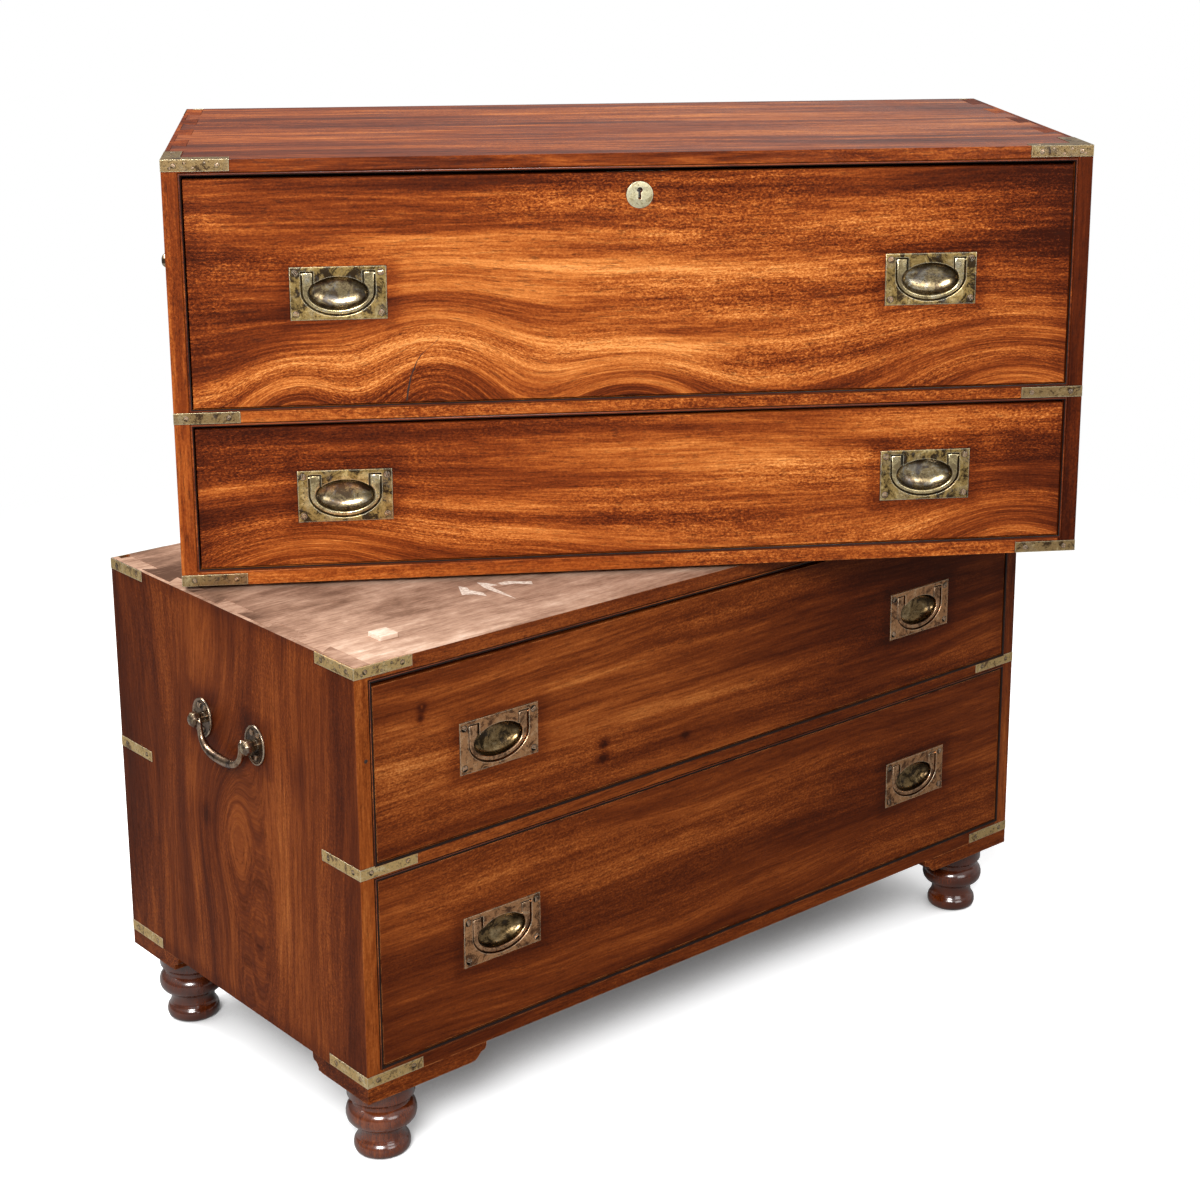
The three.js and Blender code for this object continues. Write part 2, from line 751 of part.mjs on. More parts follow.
// The bail follows the outline of the pull outside and the rim of the bowl inside
function pullBail() {
  const half = bailWidth / 2;
  const leg = bailLegInner;
  const inX = bowlWidth / 2 + bailRoom;
  const inZ = bowlHeight / 2 + bailRoom;
  const meet = Math.acos(leg / inX);
  const shape = new THREE.Shape();
  shape.moveTo(leg, bailTop);
  shape.lineTo(leg, inZ * Math.sin(meet));
  shape.absellipse(0, 0, inX, inZ, meet, Math.PI - meet, true);
  shape.lineTo(-leg, bailTop);
  shape.lineTo(-half, bailTop);
  shape.lineTo(-half, bailCurveCentre);
  shape.absellipse(0, bailCurveCentre, half, bailBottom + bailCurveCentre, Math.PI, 2 * Math.PI, false);
  shape.lineTo(half, bailTop);
  const ring = extrudedShape(shape, bailRoom / 2, bailRoom / 2 + bailThickness);
  const { y, z } = pivotPlaces();
  const pins = [-1, 1].map((side) => rod(pivotRadius, pivotLength + bailLegWidth / 2, pivotSides)
    .rotateZ(Math.PI / 2)
    .translate(side * (half + pivotLength / 2 - bailLegWidth / 4), y, z));
  return join(ring, pins);
}

// Drawers, in a frame with y 0 at the drawer's front face and z 0 at its bottom edge
function drawerSize([z0, z1], topGap) {
  return {
    half: innerHalf - drawerSideGap,
    height: z1 - z0 - topGap - drawerBottomGap,
  };
}

function drawerTails({ half, height }, grow) {
  const root = frontThickness;
  const tip = drawerTailLap;
  return tailPlaces(height - boxDrop, drawerTailPitch, drawerTailMargin).map(({ middle, step }) => {
    const narrow = (step * tailRootShare) / 2 + grow;
    const wide = (step * tailTipShare) / 2 + grow;
    const shape = outline([
      [root + boxWall, middle - narrow], [root + boxWall, middle + narrow],
      [root + clearance, middle + narrow], [tip - grow, middle + wide],
      [tip - grow, middle - wide], [root + clearance, middle - narrow],
    ]);
    const outer = grow > 0 ? -half - overrun : -half;
    return carriedAcross(shape, outer, -half + boxWall + grow);
  });
}

function pullHeight({ height }) {
  return height / 2 - pullDrop;
}

function drawerFront(size, withLock) {
  const board = block([-size.half, size.half], [0, frontThickness], [0, size.height]);
  const sockets = drawerTails(size, clearance);
  const pockets = [-1, 1].flatMap((side) => pullPocket()
    .map((shape) => shape.translate(side * pullSpacing, 0, pullHeight(size))));
  const tools = [...sockets, ...sockets.map((socket) => mirrored(join(socket))), ...pockets];
  if (withLock) tools.push(...lockCutters(size));
  return cut(board, tools);
}

function drawerBox(size) {
  const { half, height } = size;
  const y0 = frontThickness + clearance;
  const top = height - boxDrop;
  const lowest = clearance - drawerBottomGap;
  const side = block([-half, -half + boxWall], [y0, drawerDepth], [lowest, top]);
  const tails = drawerTails(size, 0);
  const leftSide = join(side, tails);
  const back = block([-half + boxWall / 2, half - boxWall / 2],
    [drawerDepth - 2 * boxWall, drawerDepth - boxWall], [boxBottomLift, top - boxDrop]);
  const bottom = block([-half + boxWall / 2, half - boxWall / 2],
    [y0, drawerDepth - boxWall], [boxBottomLift, boxBottomLift + boxBottom]);
  return join(leftSide, mirrored(leftSide), back, bottom);
}

// Lock: escutcheon and keyhole in front, case let into the back, bolt that rises into the top board
function keyhole(z, y0, y1) {
  const hole = rod(keyholeRadius, y1 - y0, keyholeSides).translate(0, (y0 + y1) / 2, z + keyholeRise);
  const slot = block([-keyholeSlotWidth / 2, keyholeSlotWidth / 2], [y0, y1],
    [z + keyholeRise - keyholeSlotLength, z + keyholeRise]);
  return join(hole, slot);
}

function lockCutters(size) {
  const z = size.height - escutcheonBelowTop;
  const sunk = escutcheonThickness - escutcheonProud + clearance;
  const recess = rod(escutcheonRadius + 2 * clearance, sunk + overrun, escutcheonSides)
    .translate(0, (sunk - overrun) / 2, z);
  const half = lockWidth / 2 + clearance;
  const pocket = block([-half, half], [frontThickness - lockThickness - clearance, frontThickness + overrun],
    [size.height - lockHeight - clearance, size.height + overrun]);
  return [recess, keyhole(z, -overrun, frontThickness + overrun), pocket];
}

function escutcheon(size) {
  const z = size.height - escutcheonBelowTop;
  const disc = turned([
    [0, 0], [escutcheonRadius, 0], [escutcheonRadius, escutcheonThickness / 2],
    [escutcheonRadius - escutcheonProud, escutcheonThickness], [0, escutcheonThickness],
  ], escutcheonSides);
  disc.rotateX(Math.PI / 2).translate(0, escutcheonThickness - escutcheonProud, z);
  return cut(disc, keyhole(z, -overrun, overrun));
}

function boltSpan(size) {
  const middle = frontThickness - lockThickness / 2;
  return {
    y: [middle - boltThickness / 2, middle + boltThickness / 2],
    z: [size.height - boltLength - clearance, size.height - clearance],
  };
}

function lockCase(size) {
  const half = lockWidth / 2;
  const { y, z } = boltSpan(size);
  const body = block([-half, half], [frontThickness - lockThickness, frontThickness],
    [size.height - lockHeight, size.height]);
  const boltRoom = block([-boltWidth / 2 - clearance, boltWidth / 2 + clearance],
    [y[0] - clearance, y[1] + clearance], [z[0] - clearance, size.height + overrun]);
  const keyWay = keyhole(size.height - escutcheonBelowTop,
    frontThickness - lockThickness - overrun, frontThickness - lockThickness / 2);
  return cut(body, boltRoom, keyWay);
}

function lockBolt(size) {
  const { y, z } = boltSpan(size);
  return block([-boltWidth / 2, boltWidth / 2], y, z);
}

function boltMortise(size, topGap) {
  const { y } = boltSpan(size);
  const face = -halfDepth + drawerSetBack;
  const room = boltThrow - topGap + clearance + mortiseDepth / 4;
  return block([-boltWidth / 2 - clearance * 4, boltWidth / 2 + clearance * 4],
    [face + y[0] - clearance * 4, face + y[1] + clearance * 4],
    [upper.topUnderside - overrun, upper.topUnderside + Math.max(room, mortiseDepth)]);
}

// The scene graph
const chest = new THREE.Group();
chest.name = 'campaign_chest';
const lowerCase = new THREE.Group();
lowerCase.position.set(0, 0, lowerBase);
const turnPole = new THREE.Group();
turnPole.position.set(turnPoleX, turnPoleY, upperBase);
turnPole.rotation.z = THREE.MathUtils.degToRad(-upperTurn);
const upperCase = new THREE.Group();
upperCase.position.set(-turnPoleX, -turnPoleY, 0);
turnPole.add(upperCase);
chest.add(lowerCase, turnPole);

function addPiece(parent, name, geometry, material) {
  const mesh = new THREE.Mesh(geometry, material);
  mesh.name = name;
  mesh.geometry.computeVertexNormals();
  parent.add(mesh);
  return mesh;
}

const drawerList = [
  { key: 'upper_top', group: upperCase, chestCase: upper, opening: 1, topGap: upperTopGap, lock: true },
  { key: 'upper_bottom', group: upperCase, chestCase: upper, opening: 0, topGap: upperBottomGap },
  { key: 'lower_top', group: lowerCase, chestCase: lower, opening: 1, topGap: lowerTopGap },
  { key: 'lower_bottom', group: lowerCase, chestCase: lower, opening: 0, topGap: lowerBottomGap },
];

for (const [group, chestCase] of [[lowerCase, lower], [upperCase, upper]]) {
  const topMaterial = chestCase === lower ? bareTop : mahogany;
  const left = sideBoard(chestCase);
  const locked = drawerList.find((drawer) => drawer.lock && drawer.chestCase === chestCase);
  let top = topBoard(chestCase);
  if (chestCase === lower) top = join(top, pegs(chestCase));
  if (locked) {
    const size = drawerSize(chestCase.openingPlaces[locked.opening], locked.topGap);
    top = cut(top, boltMortise(size, locked.topGap));
  }
  addPiece(group, `${chestCase.name}_left_side`, left, mahogany);
  addPiece(group, `${chestCase.name}_right_side`, mirrored(left), mahogany);
  addPiece(group, `${chestCase.name}_top_board`, top, topMaterial);
  addPiece(group, `${chestCase.name}_bottom_board`, bottomBoard(chestCase), mahogany);
  addPiece(group, `${chestCase.name}_divider`, dividerBoard(chestCase), mahogany);
  addPiece(group, `${chestCase.name}_back_panel`, backPanel(chestCase), drawerPine);
  for (const level of ['top', 'middle', 'bottom']) {
    const strap = join(strapPiece(chestCase, level));
    addPiece(group, `${chestCase.name}_left_${level}_strap`, strap, agedBrass);
    addPiece(group, `${chestCase.name}_right_${level}_strap`, mirrored(strap), agedBrass);
  }
  const bail = join(carryingBail());
  const leftBail = addPiece(group, `${chestCase.name}_left_carrying_bail`, bail, agedBrass);
  const rightBail = addPiece(group, `${chestCase.name}_right_carrying_bail`, mirrored(bail), agedBrass);
  leftBail.position.set(-halfWidth, 0, chestCase.handleHeight);
  rightBail.position.set(halfWidth, 0, chestCase.handleHeight);
}

for (const { key, group, chestCase, opening, topGap, lock } of drawerList) {
  const span = chestCase.openingPlaces[opening];
  const size = drawerSize(span, topGap);
  const drawer = new THREE.Group();
  drawer.position.set(0, -halfDepth + drawerSetBack, span[0] + drawerBottomGap);
  group.add(drawer);
  addPiece(drawer, `${key}_drawer_front`, drawerFront(size, lock), mahogany);
  addPiece(drawer, `${key}_drawer_box`, drawerBox(size), drawerPine);
  for (const [side, place] of [['left', -pullSpacing], ['right', pullSpacing]]) {
    const plate = addPiece(drawer, `${key}_${side}_pull_plate`, pullPlate(), agedBrass);
    const bail = addPiece(drawer, `${key}_${side}_pull_bail`, pullBail(), agedBrass);
    plate.position.set(place, 0, pullHeight(size));
    bail.position.set(place, 0, pullHeight(size));
  }
  if (lock) {
    addPiece(drawer, 'escutcheon', escutcheon(size), agedBrass);
    addPiece(drawer, 'lock_case', lockCase(size), steel);
    addPiece(drawer, 'lock_bolt', lockBolt(size), steel);
  }
}

for (const [corner, [x, y]] of Object.entries(footPlaces())) {
  const foot = addPiece(chest, `foot_${corner}`, join(footPiece()), darkMahogany);
  foot.position.set(x, y, 0);
}

// Stand the whole outline over the origin
const reach = new THREE.Box3().setFromObject(chest, true);
const middle = reach.getCenter(new THREE.Vector3());
chest.position.set(-middle.x, -middle.y, 0);

export default chest;
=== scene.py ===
import itertools
import math
import bmesh
import bpy
from mathutils import Matrix, Vector


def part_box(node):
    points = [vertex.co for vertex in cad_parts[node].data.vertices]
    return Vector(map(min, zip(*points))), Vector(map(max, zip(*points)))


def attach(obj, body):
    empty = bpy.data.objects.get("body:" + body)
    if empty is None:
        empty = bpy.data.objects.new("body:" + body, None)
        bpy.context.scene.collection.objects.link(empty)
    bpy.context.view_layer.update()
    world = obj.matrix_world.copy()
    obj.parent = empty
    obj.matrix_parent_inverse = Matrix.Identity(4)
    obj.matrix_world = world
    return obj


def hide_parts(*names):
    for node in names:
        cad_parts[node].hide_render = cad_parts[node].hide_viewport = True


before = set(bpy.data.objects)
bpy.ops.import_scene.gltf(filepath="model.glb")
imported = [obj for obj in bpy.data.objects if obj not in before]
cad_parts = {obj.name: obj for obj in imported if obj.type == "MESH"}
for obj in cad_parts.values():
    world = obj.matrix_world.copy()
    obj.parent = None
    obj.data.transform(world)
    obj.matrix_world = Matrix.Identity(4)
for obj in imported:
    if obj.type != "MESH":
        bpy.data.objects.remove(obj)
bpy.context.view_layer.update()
print("frame loaded")

# Measures are in metres, and a case's own frame has its middle at x 0, y 0 and its underside at z 0
mm = 0.001
move = Matrix.Translation
chest = {
    "halfWidth": 500 * mm, "halfDepth": 245 * mm, "wall": 20 * mm, "skin": 0.03 * mm,
    "middle": Vector((-42.9876, -12.4950, 0)) * mm, "pole": Vector((46.4, -79.1, 0)) * mm, "turn": -33.2,
    "floors": {"lower": Vector((0, 0, 106)) * mm, "upper": Vector((0, 0, 571.3)) * mm},
    "heights": {"lower": 460 * mm, "upper": 462.5 * mm},
    "handles": {"lower": 323 * mm, "upper": 325.5 * mm},
    "openings": {
        "lower": [(19 * mm, 227.5 * mm), (246.5 * mm, 440.5 * mm)],
        "upper": [(19 * mm, 177.5 * mm), (196.5 * mm, 445.5 * mm)],
    },
}
sides = {"left": -1, "right": 1}
halfWidth, halfDepth = chest["halfWidth"], chest["halfDepth"]


def rotation(degrees, axis):
    return Matrix.Rotation(math.radians(degrees), 4, axis)


pole, floors = chest["pole"], chest["floors"]
caseFrames = {
    "lower": move(chest["middle"] + floors["lower"]),
    "upper": move(chest["middle"] + pole + floors["upper"]) @ rotation(chest["turn"], "Z") @ move(-pole),
}


# A flat outline (x, y) stood up as (x, z), its thickness towards the front, and the same for other faces
upright = rotation(90, "X")
toBack = rotation(-90, "X")
toSide = {-1: rotation(-90, "Y"), 1: rotation(90, "Y")}


# Small helpers for meshes
def newObject(name, data):
    thing = bpy.data.objects.new(name, data)
    bpy.context.scene.collection.objects.link(thing)
    return thing


def meshFrom(name, points, faces):
    mesh = bpy.data.meshes.new(name)
    mesh.from_pydata([tuple(p) for p in points], [], faces)
    mesh.update()
    return mesh


def finalMesh(thing):
    graph = bpy.context.evaluated_depsgraph_get()
    return bpy.data.meshes.new_from_object(thing.evaluated_get(graph))


def bakeModifiers(thing):
    made = finalMesh(thing)
    thing.modifiers.clear()
    thing.data = made
    return thing


def cleaned(mesh, merge=0.0):
    work = bmesh.new()
    work.from_mesh(mesh)
    if merge:
        bmesh.ops.remove_doubles(work, verts=work.verts, dist=merge)
    bmesh.ops.recalc_face_normals(work, faces=work.faces)
    work.to_mesh(mesh)
    work.free()
    return mesh


def softened(thing, width, angle=32):
    thing.data.shade_smooth()
    bevel = thing.modifiers.new("soft", "BEVEL")
    bevel.width = width
    bevel.segments = 2
    bevel.limit_method = "ANGLE"
    bevel.angle_limit = math.radians(angle)
    weighted = thing.modifiers.new("flat", "WEIGHTED_NORMAL")  # large faces stay flat up to their edges
    weighted.mode = "FACE_AREA"
    weighted.weight = 100
    return bakeModifiers(thing)


def sharpened(mesh, angle):
    mesh.shade_smooth()
    mesh.set_sharp_from_angle(angle=math.radians(angle))
    return mesh


def nodeCopy(node, ending, cuts=()):
    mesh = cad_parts[node].data.copy()
    mesh.materials.clear()
    work = bmesh.new()
    work.from_mesh(mesh)
    bmesh.ops.remove_doubles(work, verts=work.verts, dist=0.01 * mm)
    for point, normal in cuts:
        everything = work.verts[:] + work.edges[:] + work.faces[:]
        made = bmesh.ops.bisect_plane(
            work, geom=everything, plane_co=point, plane_no=normal, clear_outer=True)
        edges = [item for item in made["geom_cut"] if isinstance(item, bmesh.types.BMEdge)]
        bmesh.ops.contextual_create(work, geom=edges)
        bmesh.ops.holes_fill(work, edges=[e for e in work.edges if e.is_boundary], sides=0)
    bmesh.ops.dissolve_limit(work, angle_limit=math.radians(1), verts=work.verts, edges=work.edges)
    bmesh.ops.recalc_face_normals(work, faces=work.faces)
    work.to_mesh(mesh)
    work.free()
    return newObject(f"{node.replace('_', '-')}-{ending}", mesh)


def dress(thing, body, material, slot, *nodes):
    thing.data.materials.clear()
    thing.data.materials.append(material)
    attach(thing, body)
    if nodes:
        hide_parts(*nodes)
    return thing


def arc(rx, ry, start, sweep, steps, lift=0.0):
    angles = [start + sweep * k / steps for k in range(steps + 1)]
    return [(rx * math.cos(a), lift + ry * math.sin(a)) for a in angles]


def ring(rx, ry, steps):
    return arc(rx, ry, 0, 2 * math.pi, steps)[:-1]


def ringFaces(rings, count, first=0, inside=False):
    faces = []
    for start in range(first, first + (rings - 1) * count, count):
        for k in range(count):
            a, b = start + k, start + (k + 1) % count
            faces.append((a, a + count, b + count, b) if inside else (a, b, b + count, a + count))
    return faces


def cappedFaces(rings, count):
    last = (rings - 1) * count
    return ringFaces(rings, count) + [tuple(reversed(range(count))), tuple(range(last, last + count))]


# Turned solid from a profile of radii and heights in millimetres
def lathe(name, profile, count):
    points = []
    for radius, height in profile:
        points += [(x, y, height * mm) for x, y in ring(radius * mm, radius * mm, count)]
    return meshFrom(name, points, cappedFaces(len(profile), count))


def smoothCurve(points, steps):
    made = []
    padded = [points[0]] + list(points) + [points[-1]]
    for i in range(1, len(padded) - 2):
        p0, p1, p2, p3 = (Vector(padded[i + k]) for k in (-1, 0, 1, 2))
        for s in range(steps):
            t = s / steps
            made.append(0.5 * ((2 * p1) + (p2 - p0) * t + (2 * p0 - 5 * p1 + 4 * p2 - p3) * t * t
                               + (3 * p1 - p0 - 3 * p2 + p3) * t * t * t))
    made.append(Vector(points[-1]))
    return made


def slab(name, outlines, thickness, bevel=0.0, steps=2):
    curve = bpy.data.curves.new(name, "CURVE")
    curve.dimensions = "2D"
    curve.fill_mode = "BOTH"
    curve.extrude = thickness / 2 - bevel
    curve.bevel_depth = bevel
    curve.bevel_resolution = steps
    curve.offset = -bevel
    for outline in outlines:
        spline = curve.splines.new("POLY")
        spline.points.add(len(outline) - 1)
        for point, (x, y) in zip(spline.points, outline):
            point.co = (x, y, 0, 1)
        spline.use_cyclic_u = True
    source = newObject(name, curve)
    mesh = finalMesh(source)
    bpy.data.objects.remove(source)
    return cleaned(mesh, 0.005 * mm)


def joined(name, parts):
    work = bmesh.new()
    for mesh, place in parts:
        copy = mesh.copy()
        copy.transform(place)
        if place.determinant() < 0:
            copy.flip_normals()
        work.from_mesh(copy)
        bpy.data.meshes.remove(copy)
    mesh = bpy.data.meshes.new(name)
    work.to_mesh(mesh)
    work.free()
    return mesh


def placedCopy(mesh, place, angle):
    copy = mesh.copy()
    copy.transform(place)
    return sharpened(copy, angle)


# Painted shade in gaps and hollows, kept on the points of a mesh
def shadePainted(mesh, rule):
    layer = mesh.attributes.new("paintedShade", "FLOAT", "POINT")
    for i, vertex in enumerate(mesh.vertices):
        layer.data[i].value = rule(i, vertex.co)
    return mesh


def clamp(value):
    return min(1.0, max(0.0, value))


# Camera, fitted to the edges of both cases in the photograph, with no more shift than its framing needs
view = {
    "place": (-1.72740, -2.06803, 1.34579), "yaw": -41.330, "pitch": 14.719, "roll": 0.099,
    "lens": 69.344, "sensor": 36, "shift": (-0.0547, -0.1200), "end": 100,
}
cameraData = bpy.data.cameras.new("photoCamera")
cameraData.sensor_width = view["sensor"]
cameraData.lens = view["lens"]
cameraData.shift_x, cameraData.shift_y = view["shift"]
cameraData.clip_end = view["end"]
camera = newObject("photoCamera", cameraData)
aim = rotation(view["yaw"], "Z") @ rotation(90 - view["pitch"], "X") @ rotation(view["roll"], "Z")
camera.matrix_world = move(view["place"]) @ aim
bpy.context.scene.camera = camera
print("camera placed")


# A wire of a node tree, which sums and products join like a number
class Wire:
    def __init__(self, tree, socket):
        self.tree = tree
        self.socket = socket

    def __add__(self, other):
        return calc("ADD", self, other)

    def __sub__(self, other):
        return calc("SUBTRACT", self, other)

    def __rsub__(self, other):
        return calc("SUBTRACT", other, self)

    def __mul__(self, other):
        return calc("MULTIPLY", self, other)

    def __truediv__(self, other):
        return calc("DIVIDE", self, other)

    def __abs__(self):
        return calc("ABSOLUTE", self)


# Small helpers for materials
def newTree(name):
    material = bpy.data.materials.new(name)
    material.use_nodes = True
    tree = material.node_tree
    return material, tree, tree.nodes["Principled BSDF"]


def setInputs(tree, node, inputs):
    for key, value in inputs.items():
        if isinstance(value, Wire):
            tree.links.new(value.socket, node.inputs[key])
        else:
            node.inputs[key].default_value = value


def add(tree, kind, inputs=None, output=0, **settings):
    node = tree.nodes.new(kind)
    for key, value in settings.items():
        setattr(node, key, value)
    setInputs(tree, node, inputs or {})
    return Wire(tree, node.outputs[output])


def calc(operation, *values):
    tree = next(value.tree for value in values if isinstance(value, Wire))
    return add(tree, "ShaderNodeMath", dict(enumerate(values)), operation=operation)


def vector(x, y, z):
    return add(x.tree, "ShaderNodeCombineXYZ", {0: x, 1: y, 2: z})


def split(place):
    node = add(place.tree, "ShaderNodeSeparateXYZ", {0: place}).socket.node
    return [Wire(place.tree, socket) for socket in node.outputs]


def noise(place, scale, detail=2.0, roughness=0.5, distortion=0.0):
    if isinstance(scale, tuple):
        place = add(place.tree, "ShaderNodeVectorMath", {0: place, 1: scale}, operation="MULTIPLY")
        scale = 1.0
    return add(place.tree, "ShaderNodeTexNoise", {
        "Vector": place, "Scale": scale, "Detail": detail, "Roughness": roughness,
        "Distortion": distortion})


def remap(value, low, high, start=0.0, end=1.0):
    return add(value.tree, "ShaderNodeMapRange", {0: value, 1: low, 2: high, 3: start, 4: end},
               interpolation_type="SMOOTHSTEP")


def mixed(factor, a, b):
    a, b = (colour if isinstance(colour, Wire) else (*colour, 1) for colour in (a, b))
    return add(factor.tree, "ShaderNodeMix", {0: factor, 6: a, 7: b}, 2, data_type="RGBA")


def ramp(value, stops):
    colour = add(value.tree, "ShaderNodeValToRGB", {0: value})
    marks = colour.socket.node.color_ramp.elements
    while len(marks) < len(stops):
        marks.new(0.5)
    for mark, (position, tint) in zip(marks, stops):
        mark.position = position
        mark.color = (*tint, 1)
    return colour


def objectPlace(tree):
    return add(tree, "ShaderNodeTexCoord", output="Object")


# Reads the painted shade kept on a mesh's points
def paintedShadeOf(tree):
    return add(tree, "ShaderNodeAttribute", output="Fac", attribute_name="paintedShade")


# Band along rounded edges, from the Bevel node: worn edges on the wood, and on brass the rubbed edges with
# a painted highlight
def edgeBand(tree, radius, low, high, strength=1.0):
    soft = add(tree, "ShaderNodeBevel", {"Radius": radius}, samples=4)
    flat = add(tree, "ShaderNodeNewGeometry", output="True Normal")
    likeness = add(tree, "ShaderNodeVectorMath", {0: soft, 1: flat}, "Value", operation="DOT_PRODUCT")
    return remap(likeness, low, high, 0.0, strength)


# How near the place u, v is to a spot: 1 in its middle, and 0 well outside
def nearness(u, v, spot, falloff):
    x, y, wide, high = spot
    across, down = (u - x) / wide, (v - y) / high
    return calc("EXPONENT", (across * across + down * down) * -falloff)


def speckledMaterial(name, look):
    material, tree, shader = newTree(name)
    colour = ramp(noise(objectPlace(tree), *look["noise"]), look["stops"])
    setInputs(tree, shader, {
        "Base Color": colour, "Roughness": look["rough"], "Metallic": look["metallic"]})
    return material


# Mahogany: flow lines that bend round flames, with streaks, ribbon, rings and pores along them
redRamp = [
    (0.0, (0.032, 0.0045, 0.0008)), (0.25, (0.095, 0.0150, 0.0024)), (0.45, (0.20, 0.037, 0.0055)),
    (0.62, (0.36, 0.086, 0.0135)), (0.8, (0.55, 0.170, 0.034)), (1.0, (0.78, 0.31, 0.085))]
brownRamp = [
    (0.0, (0.026, 0.0045, 0.0010)), (0.25, (0.065, 0.0110, 0.0018)), (0.45, (0.125, 0.0245, 0.0038)),
    (0.62, (0.22, 0.051, 0.0085)), (0.8, (0.36, 0.108, 0.022)), (1.0, (0.54, 0.20, 0.055))]
pineRamp = [
    (0.0, (0.115, 0.040, 0.014)), (0.4, (0.32, 0.125, 0.042)), (0.7, (0.49, 0.225, 0.083)),
    (1.0, (0.66, 0.37, 0.16))]
bareRamp = [
    (0.0, (0.085, 0.042, 0.026)), (0.3, (0.25, 0.140, 0.092)), (0.55, (0.44, 0.275, 0.19)),
    (0.75, (0.60, 0.42, 0.31)), (1.0, (0.84, 0.70, 0.58))]
grainAxes = {"x": (0, 2, 1), "box": (0, 2, 1), "top": (0, 1, 2), "z": (2, 1, 0)}
# Each noise has its stretch along the grain, detail, roughness and distortion
grainNoise = {
    "band": ((1.2, 11.0, 11.0), 1.0), "streak": ((2.6, 46.0, 46.0), 4.0, 0.65),
    "fine": ((13.0, 260.0, 260.0), 3.0, 0.75), "pores": ((60.0, 520.0, 520.0), 3.0, 0.65),
    "ripple": ((300.0, 500.0, 500.0), 2.0, 0.7, 0.4), "curl": ((60.0, 150.0, 150.0), 3.0, 0.7, 0.5),
    "zone": ((3.0, 12.0, 12.0), 1.0), "wobble": ((14.0, 30.0, 30.0), 3.0),
}
bareNoise = {
    "grain": ((3.2, 34.0, 34.0), 5.0, 0.7, 0.4), "cloud": ((7.0, 11.0, 11.0), 7.0, 0.72, 0.5),
    "hair": ((30.0, 420.0, 420.0), 3.0, 0.7), "scuff": ((38.0, 70.0, 70.0), 4.0, 0.75),
}
bareShares = {"grain": 0.8, "cloud": 0.95, "hair": 0.5, "scuff": 0.6}
wood = {
    "seedStep": 1.37, "slowBend": (1.6, 5.0, 5.0), "boxSide": 468 * mm,
    "stile": (-243.5 * mm, -244.6 * mm), "flameFall": 0.9, "spotFall": 1.4,
    "rings": 620.0, "wobble": 9.0, "ringSharpness": 5.0, "ringsNear": (0.22, 0.6),
    "curl": 0.4, "zone": (0.4, 0.62, 0.35, 1.0), "poreEdges": (0.53, 0.68), "poreRough": 0.25,
    "poreColour": (0.028, 0.006, 0.002), "shadeColour": (0.004, 0.002, 0.001),
    "wornColour": (0.50, 0.19, 0.06), "wornEdge": (1.6 * mm, 0.97, 0.8),
    "wornPatches": (60.0, 3.0), "wornFrom": (0.35, 0.6),
    "faceUp": (0.5, 0.9), "bareFrom": (457 * mm, 458.5 * mm), "pegFrom": (460.1 * mm, 460.4 * mm),
    "pegLight": 0.30, "border": (0.01, 0.14, 0.05, -0.01), "borderWave": 0.08, "bareRough": 0.35,
    "smudges": (11.0, 4.0, 0.6), "smudge": 0.22, "coatRough": 0.16,
    "poreRelief": -0.6, "fineRelief": 0.5, "relief": 0.25, "reliefDepth": 0.35 * mm,
}
woodDefaults = {
    "tone": 0.5, "bend": 0.05, "band": 0.7, "streak": 0.75, "fine": 0.55, "ripple": 1.25, "ringLight": 0.2,
    "pore": 0.55, "stile": 0.0, "wear": 0.0, "gloss": 0.42, "coat": 0.03, "specular": 0.07, "ramp": redRamp,
    "flames": (), "patches": (), "marks": (), "halos": (), "rim": None, "bare": None, "shades": (),
}


# Bare, dusty wood on the faces that look up at the top of the lower case, and on its pegs
def bareWood(local, look):
    shift, brightness = look["bare"]
    x, y, height = split(local)
    moved = add(local.tree, "ShaderNodeVectorMath", {0: local, 1: shift}, operation="ADD")
    faceUp = split(add(local.tree, "ShaderNodeNewGeometry", output="Normal"))[2]
    onPeg = remap(height, *wood["pegFrom"])
    bare = calc("MAXIMUM", remap(faceUp, *wood["faceUp"]) * remap(height, *wood["bareFrom"]), onPeg)
    layers = {key: noise(moved, *settings) - 0.5 for key, settings in bareNoise.items()}
    dusty = onPeg * wood["pegLight"] + brightness
    for key, share in bareShares.items():
        dusty = dusty + layers[key] * share
    inset = calc("MINIMUM", halfWidth - abs(x), halfDepth - abs(y))
    dusty = dusty + remap(inset + layers["cloud"] * wood["borderWave"], *wood["border"])
    # Spots of painted shade and painted light
    for *spot, strength in look["shades"]:
        dusty = dusty + nearness(x, y, spot, wood["spotFall"]) * strength
    return bare, ramp(dusty, bareRamp)


